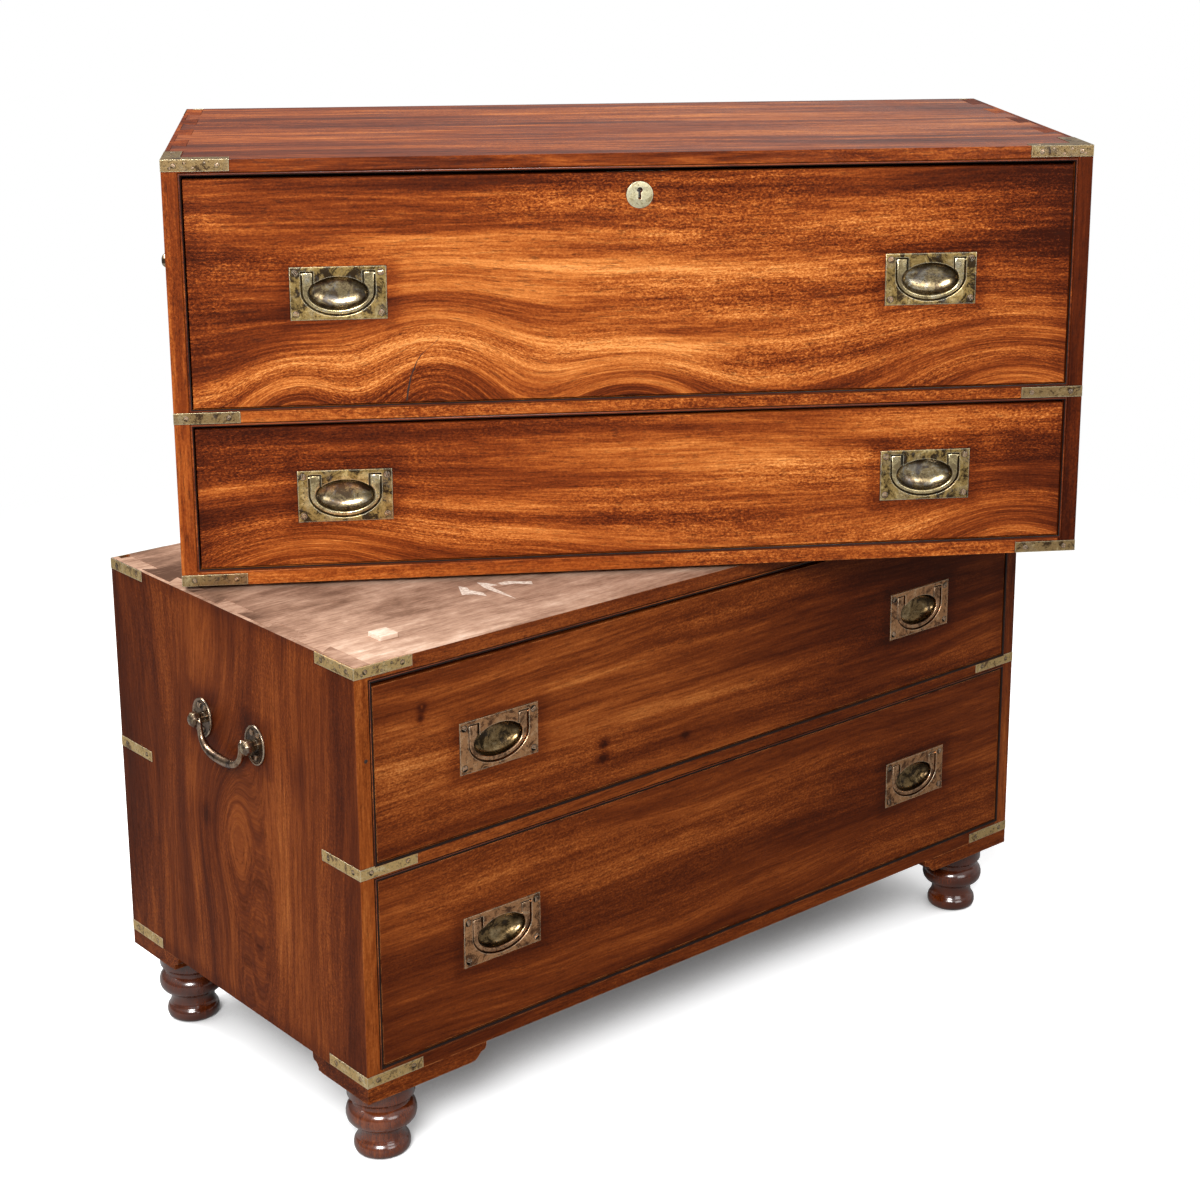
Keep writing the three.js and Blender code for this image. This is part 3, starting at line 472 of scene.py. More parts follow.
def woodMaterial(name, case, grain, look):
    look = {**woodDefaults, **look}
    material, tree, shader = newTree(name)
    place = caseFrames[case]
    local = add(tree, "ShaderNodeMapping", {
        "Vector": objectPlace(tree), "Location": place.translation, "Rotation": place.to_euler()},
        vector_type="TEXTURE")
    axes = split(local)
    along, across, deep = (axes[k] for k in grainAxes[grain])
    if grain == "box":  # the sides of a drawer run from front to back
        step = calc("GREATER_THAN", abs(along), wood["boxSide"]) * (deep - along)
        along, deep = along + step, deep - step
    deep = deep + look["seed"] * wood["seedStep"]
    bend = noise(vector(along, across, deep), wood["slowBend"]) - 0.5
    level = across + bend * look["bend"]
    closeness = None
    for *spot, rise in look["flames"]:
        near = nearness(along, across, spot, wood["flameFall"])
        level = level - near * rise
        closeness = near if closeness is None else calc("MAXIMUM", closeness, near)
    lines = vector(along, level, deep)
    layers = {key: noise(lines, *settings) for key, settings in grainNoise.items()}
    flecks = (layers["curl"] - 0.5) * wood["curl"] + (layers["ripple"] - 0.5)
    tone = flecks * remap(layers["zone"], *wood["zone"]) * look["ripple"] + look["tone"]
    for key in ("band", "streak", "fine"):
        tone = tone + (layers[key] - 0.5) * look[key]
    if look["stile"]:
        tone = tone + remap(across, *wood["stile"], 0.0, look["stile"])
    # Patches lighten or darken areas of the figure, some of them as painted light and shade; marks are
    # small spots
    for height, spots in ((level, look["patches"]), (across, look["marks"])):
        for *spot, strength in spots:
            tone = tone + nearness(along, height, spot, wood["spotFall"]) * strength
    if closeness is not None:
        rings = calc("SINE", level * wood["rings"] + layers["wobble"] * wood["wobble"])
        crest = calc("POWER", calc("MAXIMUM", rings, 0.0), wood["ringSharpness"])
        tone = tone + crest * remap(closeness, *wood["ringsNear"]) * look["ringLight"]
    height, mirrored = (along, across) if grain == "z" else (across, along)
    for (x, z), (wide, high), reach, strength in look["halos"]:
        edge = calc("MAXIMUM", abs(abs(mirrored) - x) - wide, abs(height - z) - high)
        tone = tone + remap(edge, 0.0, reach, 1.0, 0.0) * -strength
    # Darker towards the board's edges: grime, and painted shade at the gaps round it
    if look["rim"]:
        x0, x1, y0, y1, reach, strength = look["rim"]
        ends, edges = calc("MINIMUM", along - x0, x1 - along), calc("MINIMUM", across - y0, y1 - across)
        tone = tone + remap(calc("MINIMUM", ends, edges) + bend * reach, 0.0, reach, 1.0, 0.0) * -strength
    pores = remap(layers["pores"], *wood["poreEdges"], 0.0, look["pore"])
    colour = mixed(pores, ramp(tone, look["ramp"]), wood["poreColour"])
    # Painted shade where the mesh carries it, as on the beads by the gaps
    colour = mixed(paintedShadeOf(tree), colour, wood["shadeColour"])
    if look["wear"]:
        patches = remap(noise(local, *wood["wornPatches"]), *wood["wornFrom"])
        rub = edgeBand(tree, *wood["wornEdge"]) * patches
        colour = mixed(rub * look["wear"], colour, wood["wornColour"])
    rough = (noise(local, *wood["smudges"]) - 0.5) * wood["smudge"] + look["gloss"]
    rough = rough + pores * wood["poreRough"]
    coat = look["coat"]
    if look["bare"]:
        bare, bareColour = bareWood(local, look)
        colour = mixed(bare, colour, bareColour)
        rough = rough + bare * wood["bareRough"]
        coat = (1.0 - bare) * coat
    relief = layers["pores"] * wood["poreRelief"] + layers["fine"] * wood["fineRelief"]
    bump = add(tree, "ShaderNodeBump", {
        "Strength": wood["relief"], "Distance": wood["reliefDepth"], "Height": relief})
    setInputs(tree, shader, {
        "Base Color": colour, "Roughness": rough, "Normal": bump, "Coat Weight": coat,
        "Coat Roughness": wood["coatRough"], "Specular IOR Level": look["specular"]})
    return material


# Brass: a base tone, brown tarnish in clouds, painted shade in recesses and a painted highlight on rubbed
# edges
tarnish = {
    "clouds": (6.0, 0.72, 0.6), "specks": (420.0, 4.0, 0.65), "scratches": ((260.0, 260.0, 900.0), 2.0),
    "chill": (48.0, 4.0, 0.7, 0.5), "baseFrom": (0.42, 0.52), "lightFrom": (0.53, 0.66),
    "chillFrom": (0.52, 0.62), "chillColour": (0.30, 0.31, 0.33),
    "darkSpecks": (0.54, 0.66, 0.0, 0.75), "deepSpecks": (0.66, 0.74, 0.0, 0.8),
    "speckColour": (0.03, 0.018, 0.009), "edge": (1.7 * mm, 0.985, 0.86, 0.9),
    "paintedShade": 0.85, "shadeColour": (0.022, 0.014, 0.008), "cloudRough": -0.3, "scratchRough": 0.15,
    "speckRelief": 0.5, "relief": 0.25, "reliefDepth": 0.12 * mm,
}
brassDefaults = {"cool": 0.0, "clean": 0.0, "cloudScale": 62.0}


def brassMaterial(name, look):
    look = {**brassDefaults, **look}
    material, tree, shader = newTree(name)
    local = objectPlace(tree)
    clouds = noise(local, look["cloudScale"], *tarnish["clouds"])
    specks, scratches, chill = (noise(local, *tarnish[key]) for key in ("specks", "scratches", "chill"))
    base = remap(clouds, *(limit - look["clean"] for limit in tarnish["baseFrom"]))
    colour = mixed(base, look["dark"], look["base"])
    colour = mixed(remap(clouds, *tarnish["lightFrom"]), colour, look["light"])
    chilled = remap(chill, *tarnish["chillFrom"], 0.0, look["cool"])
    colour = mixed(chilled, colour, tarnish["chillColour"])
    colour = mixed(remap(specks, *tarnish["darkSpecks"]), colour, look["dark"])
    colour = mixed(remap(specks, *tarnish["deepSpecks"]), colour, tarnish["speckColour"])
    # Painted highlight along the rubbed edges
    colour = mixed(edgeBand(tree, *tarnish["edge"]), colour, look["edge"])
    # Painted shade in the hollows of pulls, screws and handle backplates
    colour = mixed(paintedShadeOf(tree) * tarnish["paintedShade"], colour, tarnish["shadeColour"])
    rough = (clouds - 0.5) * tarnish["cloudRough"] + look["rough"]
    rough = (scratches - 0.5) * tarnish["scratchRough"] + rough
    relief = specks * tarnish["speckRelief"] + scratches
    bump = add(tree, "ShaderNodeBump", {
        "Strength": tarnish["relief"], "Distance": tarnish["reliefDepth"], "Height": relief})
    setInputs(tree, shader, {"Base Color": colour, "Roughness": rough, "Normal": bump, "Metallic": 1.0})
    return material


# Wood of every board: case, grain and look, where a spot has its place, half sizes and strength
def haloAt(height):
    return [((0.322, height), (0.051, 0.0287), 0.022, 0.16)]


woods = {
    "upper_top_drawer_front": ("upper", "x", {
        "seed": 1, "tone": 0.565, "ripple": 1.4, "bend": 0.04, "band": 0.6, "streak": 1.25, "fine": 0.75,
        "ringLight": 0.13, "halos": haloAt(0.318), "rim": (-0.4785, 0.4785, 0.198, 0.4413, 0.03, 0.12),
        "flames": [
            (-0.22, 0.195, 0.075, 0.085, 0.11), (-0.01, 0.180, 0.075, 0.050, 0.085),
            (-0.37, 0.185, 0.055, 0.06, 0.08), (0.42, 0.185, 0.13, 0.085, 0.11)],
        # The light patches near the middle paint a soft glow of light on this front
        "patches": [
            (-0.43, 0.38, 0.12, 0.07, -0.06), (-0.43, 0.26, 0.10, 0.07, -0.30),
            (-0.25, 0.40, 0.10, 0.03, -0.06), (0.02, 0.33, 0.24, 0.06, 0.12),
            (-0.01, 0.235, 0.12, 0.03, 0.16), (-0.01, 0.125, 0.06, 0.022, -0.30),
            (-0.2, 0.13, 0.08, 0.05, -0.10), (0.46, 0.37, 0.12, 0.10, -0.38),
            (0.2, 0.42, 0.22, 0.03, -0.16), (0.38, 0.20, 0.14, 0.07, -0.03)]}),
    "upper_bottom_drawer_front": ("upper", "x", {
        "seed": 2, "tone": 0.525, "ripple": 1.35, "bend": 0.035, "band": 0.8, "streak": 1.2, "fine": 0.7,
        "ringLight": 0.15, "halos": haloAt(0.097), "rim": (-0.4785, 0.4785, 0.0205, 0.174, 0.022, 0.10),
        "flames": [
            (-0.36, 0.0, 0.12, 0.075, 0.10), (-0.15, -0.01, 0.1, 0.05, 0.04),
            (0.43, 0.0, 0.10, 0.075, 0.09)],
        "patches": [
            (-0.36, 0.145, 0.20, 0.035, -0.12), (-0.45, 0.07, 0.07, 0.06, -0.08),
            (0.18, 0.11, 0.25, 0.04, 0.08), (-0.1, 0.10, 0.2, 0.02, -0.12),
            (0.45, 0.10, 0.09, 0.08, -0.42)]}),
    "lower_top_drawer_front": ("lower", "x", {
        "seed": 3, "tone": 0.52, "ramp": brownRamp, "wear": 0.8, "ripple": 0.85, "pore": 0.4,
        "streak": 0.95, "halos": haloAt(0.342), "rim": (-0.4785, 0.4785, 0.248, 0.436, 0.03, 0.06),
        # The dark patches along the top and at the right paint the shadow of the upper case
        "patches": [
            (-0.27, 0.27, 0.15, 0.03, 0.10), (0.2, 0.42, 0.5, 0.05, -0.16), (-0.36, 0.40, 0.2, 0.04, -0.10),
            (0.26, 0.34, 0.17, 0.09, -0.26)],
        "marks": [
            (-0.419, 0.399, 0.006, 0.006, -0.5), (-0.419, 0.400, 0.0022, 0.0025, 0.6),
            (-0.421, 0.388, 0.005, 0.005, -0.5), (-0.180, 0.297, 0.008, 0.007, -0.5),
            (-0.181, 0.281, 0.009, 0.006, -0.5), (-0.061, 0.277, 0.007, 0.006, -0.4)]}),
    "lower_bottom_drawer_front": ("lower", "x", {
        "seed": 4, "tone": 0.44, "ramp": brownRamp, "bend": 0.07, "wear": 0.8, "ripple": 0.75, "pore": 0.4,
        "halos": haloAt(0.122), "rim": (-0.4785, 0.4785, 0.0205, 0.226, 0.03, 0.06),
        "patches": [
            (-0.44, 0.19, 0.1, 0.08, -0.04), (-0.05, 0.12, 0.25, 0.08, 0.06),
            (0.32, 0.15, 0.2, 0.12, -0.14)]}),
    "upper_left_side": ("upper", "z", {
        "seed": 5, "tone": 0.38, "bend": 0.07, "ripple": 0.6, "stile": 0.05}),
    "upper_right_side": ("upper", "z", {
        "seed": 6, "tone": 0.34, "bend": 0.07, "ripple": 0.6, "stile": -0.22}),
    "lower_left_side": ("lower", "z", {
        "seed": 7, "tone": 0.46, "bend": 0.11, "ramp": brownRamp, "pore": 0.4, "stile": 0.22,
        "specular": 0.06, "coat": 0.0, "band": 0.9, "streak": 0.65, "ripple": 0.6, "ringLight": 0.07,
        "rim": (0.0, 0.46, -0.265, 0.245, 0.02, 0.12), "bare": ((0.3, 0.2, 0), 0.34),
        # The halo paints the shadow round the carrying handle's backplates
        "halos": [((0.054, 0.325), (0.014, 0.016), 0.026, 0.22)],
        "flames": [(0.20, 0.02, 0.10, 0.055, 0.07), (0.02, 0.0, 0.09, 0.05, 0.05)],
        "marks": [
            (0.207, 0.060, 0.016, 0.011, -0.24), (0.245, 0.085, 0.045, 0.02, 0.16),
            (0.13, 0.085, 0.06, 0.009, 0.15), (0.13, 0.058, 0.06, 0.006, -0.12),
            (0.39, 0.03, 0.05, 0.05, 0.14), (0.31, -0.135, 0.04, 0.018, -0.18),
            (0.12, -0.10, 0.10, 0.04, 0.08), (0.26, 0.215, 0.2, 0.03, -0.14),
            (0.2, -0.215, 0.3, 0.025, -0.10)]}),
    "lower_right_side": ("lower", "z", {
        "seed": 8, "tone": 0.42, "bend": 0.07, "ramp": brownRamp, "ripple": 0.6, "coat": 0.1,
        "bare": ((0.3, 0.2, 0), 0.34)}),
    "upper_top_board": ("upper", "top", {
        "seed": 9, "tone": 0.40, "gloss": 0.3, "specular": 0.16, "coat": 0.09, "streak": 1.35,
        "ripple": 0.7, "fine": 0.9, "stile": 0.115, "rim": (-0.5, 0.5, -0.245, 0.245, 0.012, 0.15),
        # The light patch to the right paints the sheen on the top
        "patches": [(0.25, 0.0, 0.3, 0.3, 0.08)],
        "marks": [(-0.45, -0.2455, 0.06, 0.003, -0.14), (0.48, -0.2455, 0.09, 0.003, -0.26)]}),
    "upper_bottom_board": ("upper", "x", {"seed": 10, "wear": 0.5}),
    "upper_divider": ("upper", "x", {"seed": 11, "wear": 0.5}),
    "lower_top_board": ("lower", "top", {
        "seed": 12, "tone": 0.40, "ramp": brownRamp, "wear": 0.6, "ripple": 0.6, "coat": 0.1,
        "bare": ((0, 0, 0), 0.445),
        # Spots of painted shade and painted light on the bare top, the deepest shade at its far left rear
        "shades": [
            (-0.50, 0.16, 0.10, 0.16, -0.42), (-0.50, -0.02, 0.035, 0.12, -0.24),
            (-0.455, -0.205, 0.05, 0.035, 0.14), (-0.36, -0.235, 0.10, 0.012, 0.10),
            (-0.30, -0.244, 0.05, 0.008, -0.30), (0.0, -0.242, 0.25, 0.012, -0.16),
            (-0.40, -0.03, 0.06, 0.05, -0.08)]}),
    "lower_bottom_board": ("lower", "x", {
        "seed": 13, "tone": 0.38, "ramp": brownRamp, "wear": 0.6, "ripple": 0.6}),
    "lower_divider": ("lower", "x", {
        "seed": 14, "tone": 0.44, "ramp": brownRamp, "wear": 0.7, "ripple": 0.6}),
}
plainWood = {
    "ramp": pineRamp, "gloss": 0.6, "coat": 0.0, "pore": 0.2, "ripple": 0.35, "band": 0.55, "streak": 0.65}
for case in ("upper", "lower"):
    woods[f"{case}_back_panel"] = (case, "x", {**plainWood, "seed": 20, "tone": 0.36})
    for level in ("top", "bottom"):
        woods[f"{case}_{level}_drawer_box"] = (case, "box", {**plainWood, "seed": 22, "tone": 0.6})
softEdges = {"front": 1.1 * mm, "box": 0.3 * mm, "other": 0.6 * mm}
for node, (case, grain, look) in woods.items():
    # What the solids fuse to a board is cut off, and made again below in its own metal or wood
    ends = []
    if node.endswith("_side"):
        sx = sides[node.split("_")[1]]
        ends.append(((sx * (halfWidth + chest["skin"]), 0, 0), (sx, 0, 0)))
    if node.endswith(("_side", "_back_panel")):
        ends.append(((0, halfDepth + chest["skin"], 0), (0, 1, 0)))
    if node == "lower_bottom_board":
        ends.append(((0, 0, -0.02 * mm), (0, 0, -1)))
    place = caseFrames[case]
    cuts = [(place @ Vector(point), place.to_3x3() @ Vector(normal)) for point, normal in ends]
    board = nodeCopy(node, "wood", cuts)
    softened(board, softEdges.get(node.split("_")[-1], softEdges["other"]))
    body = node.rsplit("_", 1)[0] if "_drawer_" in node else f"{case}_case"
    slot = "drawer_pine" if look.get("ramp") is pineRamp else "mahogany"
    if node == "lower_top_board":
        slot = "bare_top"
    dress(board, body, woodMaterial(node + "_wood", case, grain, look), slot, node)
print("boards dressed")


# Beads round the drawer openings
bead = {
    "width": 3 * mm, "proud": 0.9 * mm, "sunk": 1.2 * mm, "steps": 8,
    "paintedShade": 0.97, "outerGap": 0.93, "crease": 40,
}
beadWood = {"seed": 15, "specular": 0.2, "ripple": 0.4}
beadLooks = {
    "upper": {**beadWood, "tone": 0.30, "gloss": 0.32, "coat": 0.12},
    "lower": {**beadWood, "tone": 0.44, "gloss": 0.5, "coat": 0.1},
}
# Share of the bead's width, from the opening, that gets painted shade
beadGaps = {"upper": 0.42, "lower": 0.75}
profile = [(0, bead["sunk"])]
for k in range(bead["steps"] + 1):
    angle = math.pi * k / bead["steps"]
    profile.append((bead["width"] * (1 - math.cos(angle)) / 2, -bead["proud"] * math.sin(angle)))
profile.append((bead["width"], bead["sunk"]))
count = len(profile)
for case, spans in chest["openings"].items():
    material = woodMaterial(f"{case}_bead", case, "x", beadLooks[case])
    # Painted shade on the part of the bead that faces the gap, and on its outer edge
    inGap = [not beadGaps[case] <= out / bead["width"] <= bead["outerGap"] for out, _ in profile]
    for number, (z0, z1) in enumerate(spans):
        inner = halfWidth - chest["wall"]
        points, faces = [], []
        for corner, (sx, sz, z) in enumerate(((-1, -1, z0), (1, -1, z0), (1, 1, z1), (-1, 1, z1))):
            points += [(sx * (inner + out), -halfDepth + depth, z + sz * out) for out, depth in profile]
            here, there = corner * count, (corner + 1) % 4 * count
            for k in range(count):
                after = (k + 1) % count
                faces.append((here + k, here + after, there + after, there + k))
        mesh = meshFrom(f"{case}-bead-{number}", points, faces)
        shadePainted(mesh, lambda i, point: bead["paintedShade"] if inGap[i % count] else 0.0)
        mesh.transform(caseFrames[case])
        sharpened(cleaned(mesh), bead["crease"])
        dress(newObject(f"{case}-bead-{number}", mesh), f"{case}_case", material, "mahogany")
print("beads laid")


# Metal finishes
# The edge colour of each finish paints the highlight on its rubbed edges
finishes = {
    "plate": {
        "base": (0.49, 0.325, 0.11), "dark": (0.06, 0.038, 0.02), "light": (0.86, 0.66, 0.30),
        "edge": (1.0, 0.94, 0.70), "rough": 0.36, "cool": 0.18},
    "rosyPlate": {
        "base": (0.66, 0.33, 0.15), "dark": (0.17, 0.08, 0.042), "light": (0.86, 0.52, 0.28),
        "edge": (1.0, 0.86, 0.62), "rough": 0.34, "clean": 0.01},
    "rosyBail": {
        "base": (0.64, 0.35, 0.18), "dark": (0.20, 0.105, 0.055), "light": (0.84, 0.56, 0.34),
        "edge": (0.95, 0.78, 0.56), "rough": 0.3},
    # A darker copy of the bowl brass, painting the shade and dark reflections of the lower bowls
    "shadedLowerBowl": {
        "base": (0.30, 0.195, 0.085), "dark": (0.05, 0.032, 0.016), "light": (0.52, 0.38, 0.20),
        "edge": (0.7, 0.6, 0.36), "rough": 0.26, "cool": 0.05},
    "bail": {
        "base": (0.70, 0.56, 0.29), "dark": (0.33, 0.25, 0.13), "light": (0.93, 0.84, 0.63),
        "edge": (1.0, 0.95, 0.76), "rough": 0.28, "cool": 0.12},
    "bowl": {
        "base": (0.50, 0.38, 0.20), "dark": (0.17, 0.12, 0.075), "light": (0.82, 0.76, 0.62),
        "edge": (0.9, 0.85, 0.66), "rough": 0.27, "cool": 0.45, "cloudScale": 80.0},
    "upper": {
        "base": (0.43, 0.285, 0.125), "dark": (0.08, 0.047, 0.025), "light": (0.68, 0.52, 0.27),
        "edge": (0.95, 0.86, 0.58), "rough": 0.36, "cool": 0.12, "clean": 0.035},
    "lower": {
        "base": (0.82, 0.57, 0.24), "dark": (0.26, 0.16, 0.08), "light": (0.97, 0.78, 0.44),
        "edge": (1.0, 0.93, 0.70), "rough": 0.38, "clean": 0.05},
    "screw": {
        "base": (0.64, 0.37, 0.22), "dark": (0.16, 0.09, 0.055), "light": (0.84, 0.60, 0.42),
        "edge": (1.0, 0.86, 0.66), "rough": 0.34},
    "handle": {
        "base": (0.36, 0.235, 0.15), "dark": (0.11, 0.07, 0.05), "light": (0.62, 0.47, 0.33),
        "edge": (0.95, 0.82, 0.62), "rough": 0.25, "cool": 0.25},
    "post": {
        "base": (0.56, 0.42, 0.25), "dark": (0.17, 0.11, 0.07), "light": (0.80, 0.68, 0.46),
        "edge": (1.0, 0.92, 0.72), "rough": 0.27, "cool": 0.2},
    "disc": {
        "base": (0.78, 0.70, 0.44), "dark": (0.42, 0.34, 0.18), "light": (0.9, 0.84, 0.6),
        "edge": (0.95, 0.9, 0.68), "rough": 0.38, "cool": 0.1},
}
brass = {name: brassMaterial(name + "Brass", look) for name, look in finishes.items()}
steel = speckledMaterial("lockSteel", {
    "noise": (90.0, 5.0, 0.6), "stops": [(0.3, (0.12, 0.10, 0.08)), (0.6, (0.36, 0.35, 0.34))],
    "rough": 0.45, "metallic": 1.0})


# One slotted countersunk screw, and a node group that sets it on the points of a mesh
screw = {
    "radius": 3.4 * mm, "slot": 1.0 * mm, "slotDepth": 0.7 * mm, "rise": 0.2 * mm, "depth": 1.0 * mm,
    "steps": 10,
    "rim": [(1.16, 0.02 * mm), (1.12, 0.07 * mm), (0.98, 0.07 * mm)], "rimSteps": 24,
    "shadeDepth": 0.1 * mm, "paintedShade": 0.1,
}


def screwMesh(name):
    radius, half, bottom = screw["radius"], screw["slot"] / 2, -screw["slotDepth"]
    reach = math.sqrt(radius * radius - half * half)
    start = math.asin(half / radius)
    curve = arc(radius, radius, start, math.pi - 2 * start, screw["steps"])
    corners = [(-reach / 2, half), (reach / 2, half)]
    total = len(curve + corners)
    points, faces = [], []
    for sign in (-1, 1):
        first = len(points)
        for rim, slot in ((0, screw["rise"]), (-screw["depth"], bottom)):
            points += [(x, sign * y, rim) for x, y in curve] + [(x, sign * y, slot) for x, y in corners]
        head = list(range(first, first + total))
        faces.append(tuple(head[::sign]))
        for k in range(total):
            a, b = first + k, first + (k + 1) % total
            faces.append((a, a + total, b + total, b) if sign > 0 else (a, b, b + total, a + total))
    outer = len(points)
    for share, height in screw["rim"]:
        points += [(x, y, height) for x, y in ring(radius * share, radius * share, screw["rimSteps"])]
    faces += ringFaces(len(screw["rim"]), screw["rimSteps"], outer)
    floor = len(points)
    points += [(x * reach, y * half, bottom) for x, y in ((-1, -1), (1, -1), (1, 1), (-1, 1))]
    faces.append(tuple(range(floor, floor + 4)))
    # Painted shade in the slot and in the ring round the head, and a little on the head
    return shadePainted(meshFrom(name, points, faces), lambda i, point: (
        1.0 if point.z < -screw["shadeDepth"] or outer <= i < floor else screw["paintedShade"]))


def screwGroup(source, material):
    group = bpy.data.node_groups.new("screwsOnPoints", "GeometryNodeTree")
    for direction in ("INPUT", "OUTPUT"):
        group.interface.new_socket("Geometry", in_out=direction, socket_type="NodeSocketGeometry")
    start = add(group, "NodeGroupInput")
    model = add(group, "GeometryNodeObjectInfo", {"Object": source, "As Instance": True}, "Geometry")
    spin, size = (
        add(group, "GeometryNodeInputNamedAttribute", {"Name": key}, "Attribute", data_type=kind)
        for key, kind in (("spin", "FLOAT_VECTOR"), ("size", "FLOAT")))
    put = add(group, "GeometryNodeInstanceOnPoints", {
        "Points": start, "Instance": model, "Rotation": spin, "Scale": size})
    real = add(group, "GeometryNodeRealizeInstances", {"Geometry": put})
    paint = add(group, "GeometryNodeSetMaterial", {"Geometry": real, "Material": material})
    setInputs(group, group.nodes.new("NodeGroupOutput"), {0: paint})
    return group


screwSource = newObject("screw-source", screwMesh("screw-source"))
screwSource.hide_render = True
screwLists = {}
slotTurns = [0.6, 2.2, 1.1, 2.7, 0.2, 1.7, 2.9, 0.9]
turns = (slotTurns[k % len(slotTurns)] + 0.37 * (k % 5) for k in itertools.count(1))


def addScrew(body, place, size, spin=None):
    spin = next(turns) if spin is None else spin
    turned = place.to_3x3() @ Matrix.Rotation(spin, 3, "Z")
    screwLists.setdefault(body, []).append((place.translation.copy(), turned.to_euler(), size))


def caseScrew(case, point, facing, size):
    addScrew(f"{case}_case", caseFrames[case] @ move(point) @ facing, size)


# Corner straps, with their screws, in front and behind
strap = {
    "length": 70 * mm, "width": 12.3 * mm, "proud": 0.4 * mm, "thickness": 1.5 * mm, "soft": 0.25 * mm,
    "levels": {
        "upper": {"top": 456.35 * mm, "middle": 187 * mm, "bottom": 6.45 * mm},
        "lower": {"top": 453.85 * mm, "middle": 239 * mm, "bottom": 6.45 * mm},
    },
    "screws": [13 * mm, 58 * mm], "screwSize": 0.72,
    "extraScrews": [(9 * mm, -2.6 * mm), (24 * mm, 2.6 * mm), (33 * mm, -2.6 * mm), (45 * mm, 2.6 * mm)],
    "extraSize": 0.42,
    "topScrews": [(60 * mm, 9.5 * mm), (32 * mm, 9.5 * mm), (9.5 * mm, 60 * mm), (9.5 * mm, 34 * mm)],
    "topSize": 0.8,
}
outX, outY = halfWidth + strap["proud"], halfDepth + strap["proud"]
inX, inY = outX - strap["thickness"], outY - strap["thickness"]
endX, endY = outX - strap["length"], outY - strap["length"]
rearOutline = [(outX, outY), (endX, outY), (endX, inY), (inX, inY), (inX, endY), (outX, endY)]
for case, levels in strap["levels"].items():
    for side, sx in sides.items():
        for level, z in levels.items():
            node = f"{case}_{side}_{level}_strap"
            piece = softened(nodeCopy(node, "brass"), strap["soft"])
            dress(piece, f"{case}_case", brass[case], "aged_brass", node)
            places = [(out, 0, strap["screwSize"]) for out in strap["screws"]]
            if level == "top":
                places += [(out, shift, strap["extraSize"]) for out, shift in strap["extraScrews"]]
            for out, shift, size in places:
                caseScrew(case, (sx * (halfWidth - out), -outY, z + shift), upright, size)
                caseScrew(case, (sx * outX, -halfDepth + out, z + shift), toSide[sx], size)
            # The rear corner has the same strap turned round
            mesh = slab(node + "Rear", [rearOutline], strap["width"])
            mesh.transform(move((0, 0, z)))
            if sx < 0:
                mesh.transform(Matrix.Scale(-1, 4, (1, 0, 0)))
                mesh.flip_normals()
            mesh.transform(caseFrames[case])
            rear = softened(newObject(f"{node.replace('_', '-')}-rear", mesh), strap["soft"])
            dress(rear, f"{case}_case", brass[case], "aged_brass")
            for out in strap["screws"]:
                caseScrew(case, (sx * (halfWidth - out), outY, z), toBack, strap["screwSize"])
                caseScrew(case, (sx * outX, halfDepth - out, z), toSide[sx], strap["screwSize"])
for sx in sides.values():
    for x, y in strap["topScrews"]:
        point = (sx * (halfWidth - x), -halfDepth + y, chest["heights"]["upper"] + strap["proud"])
        caseScrew("upper", point, Matrix.Identity(4), strap["topSize"])
print("straps laid")


# Flush pull: flange with the channel cut out of it, channel floor, dished bowl and the bail
pull = {
    "width": 102 * mm, "height": 57.3 * mm, "flange": 2.4 * mm, "proud": 0.6 * mm, "x": 322 * mm,
    "y": -244 * mm, "bailHalf": 38 * mm, "bailTop": 22.4 * mm, "bailBottom": 23.3 * mm, "curve": 2 * mm,
    "leg": 11 * mm, "room": 0.7 * mm, "gap": 1.5 * mm, "wideGap": 1.95 * mm, "bailThickness": 3.2 * mm,
    "bailDepth": 0.35 * mm, "channel": 4.2 * mm, "floor": 0.6 * mm, "webFrom": 0.7 * mm, "webTo": 0.3 * mm,
    "bowlX": 31.2 * mm, "bowlZ": 17.8 * mm, "bowlDepth": 12.4 * mm, "lipDepth": 1.6 * mm, "steps": 72,
    "bowlRings": 14, "bowlShare": 0.62, "depthShare": 1.1, "shadeDepth": 1.6 * mm,
    "pin": [(0, 0), (1, 0), (1, 8), (0, 8)], "pinSides": 12, "pinIn": 5.6 * mm, "pinDown": 2 * mm,
    "screw": (45.2 * mm, 22.05 * mm), "flangeSoft": (0.5 * mm, 3), "bailSoft": (1.4 * mm, 4),
    "plateCrease": 35, "bailCrease": 40,
}


# Outer line of the channel or bail, and the inner line that follows the bowl over or under it
def pullLines(grow, legGrow, bowlGrow, under, steps):
    half, top = pull["bailHalf"] + grow, pull["bailTop"] + grow
    leg = pull["bailHalf"] - pull["leg"] - legGrow
    rx, rz = pull["bowlX"] + bowlGrow, pull["bowlZ"] + bowlGrow
    low = pull["bailBottom"] + pull["curve"] + grow
    outer = [(half, top)] + arc(half, low, 0, -math.pi, pull["steps"], pull["curve"])
    outer += [(-half, top), (-leg, top)]
    meet = math.acos(leg / rx)
    sweep = math.pi + 2 * meet if under else 2 * meet - math.pi
    return outer, arc(rx, rz, math.pi - meet, sweep, steps) + [(leg, top)]


def standing(depth):
    return move((0, depth, 0)) @ upright


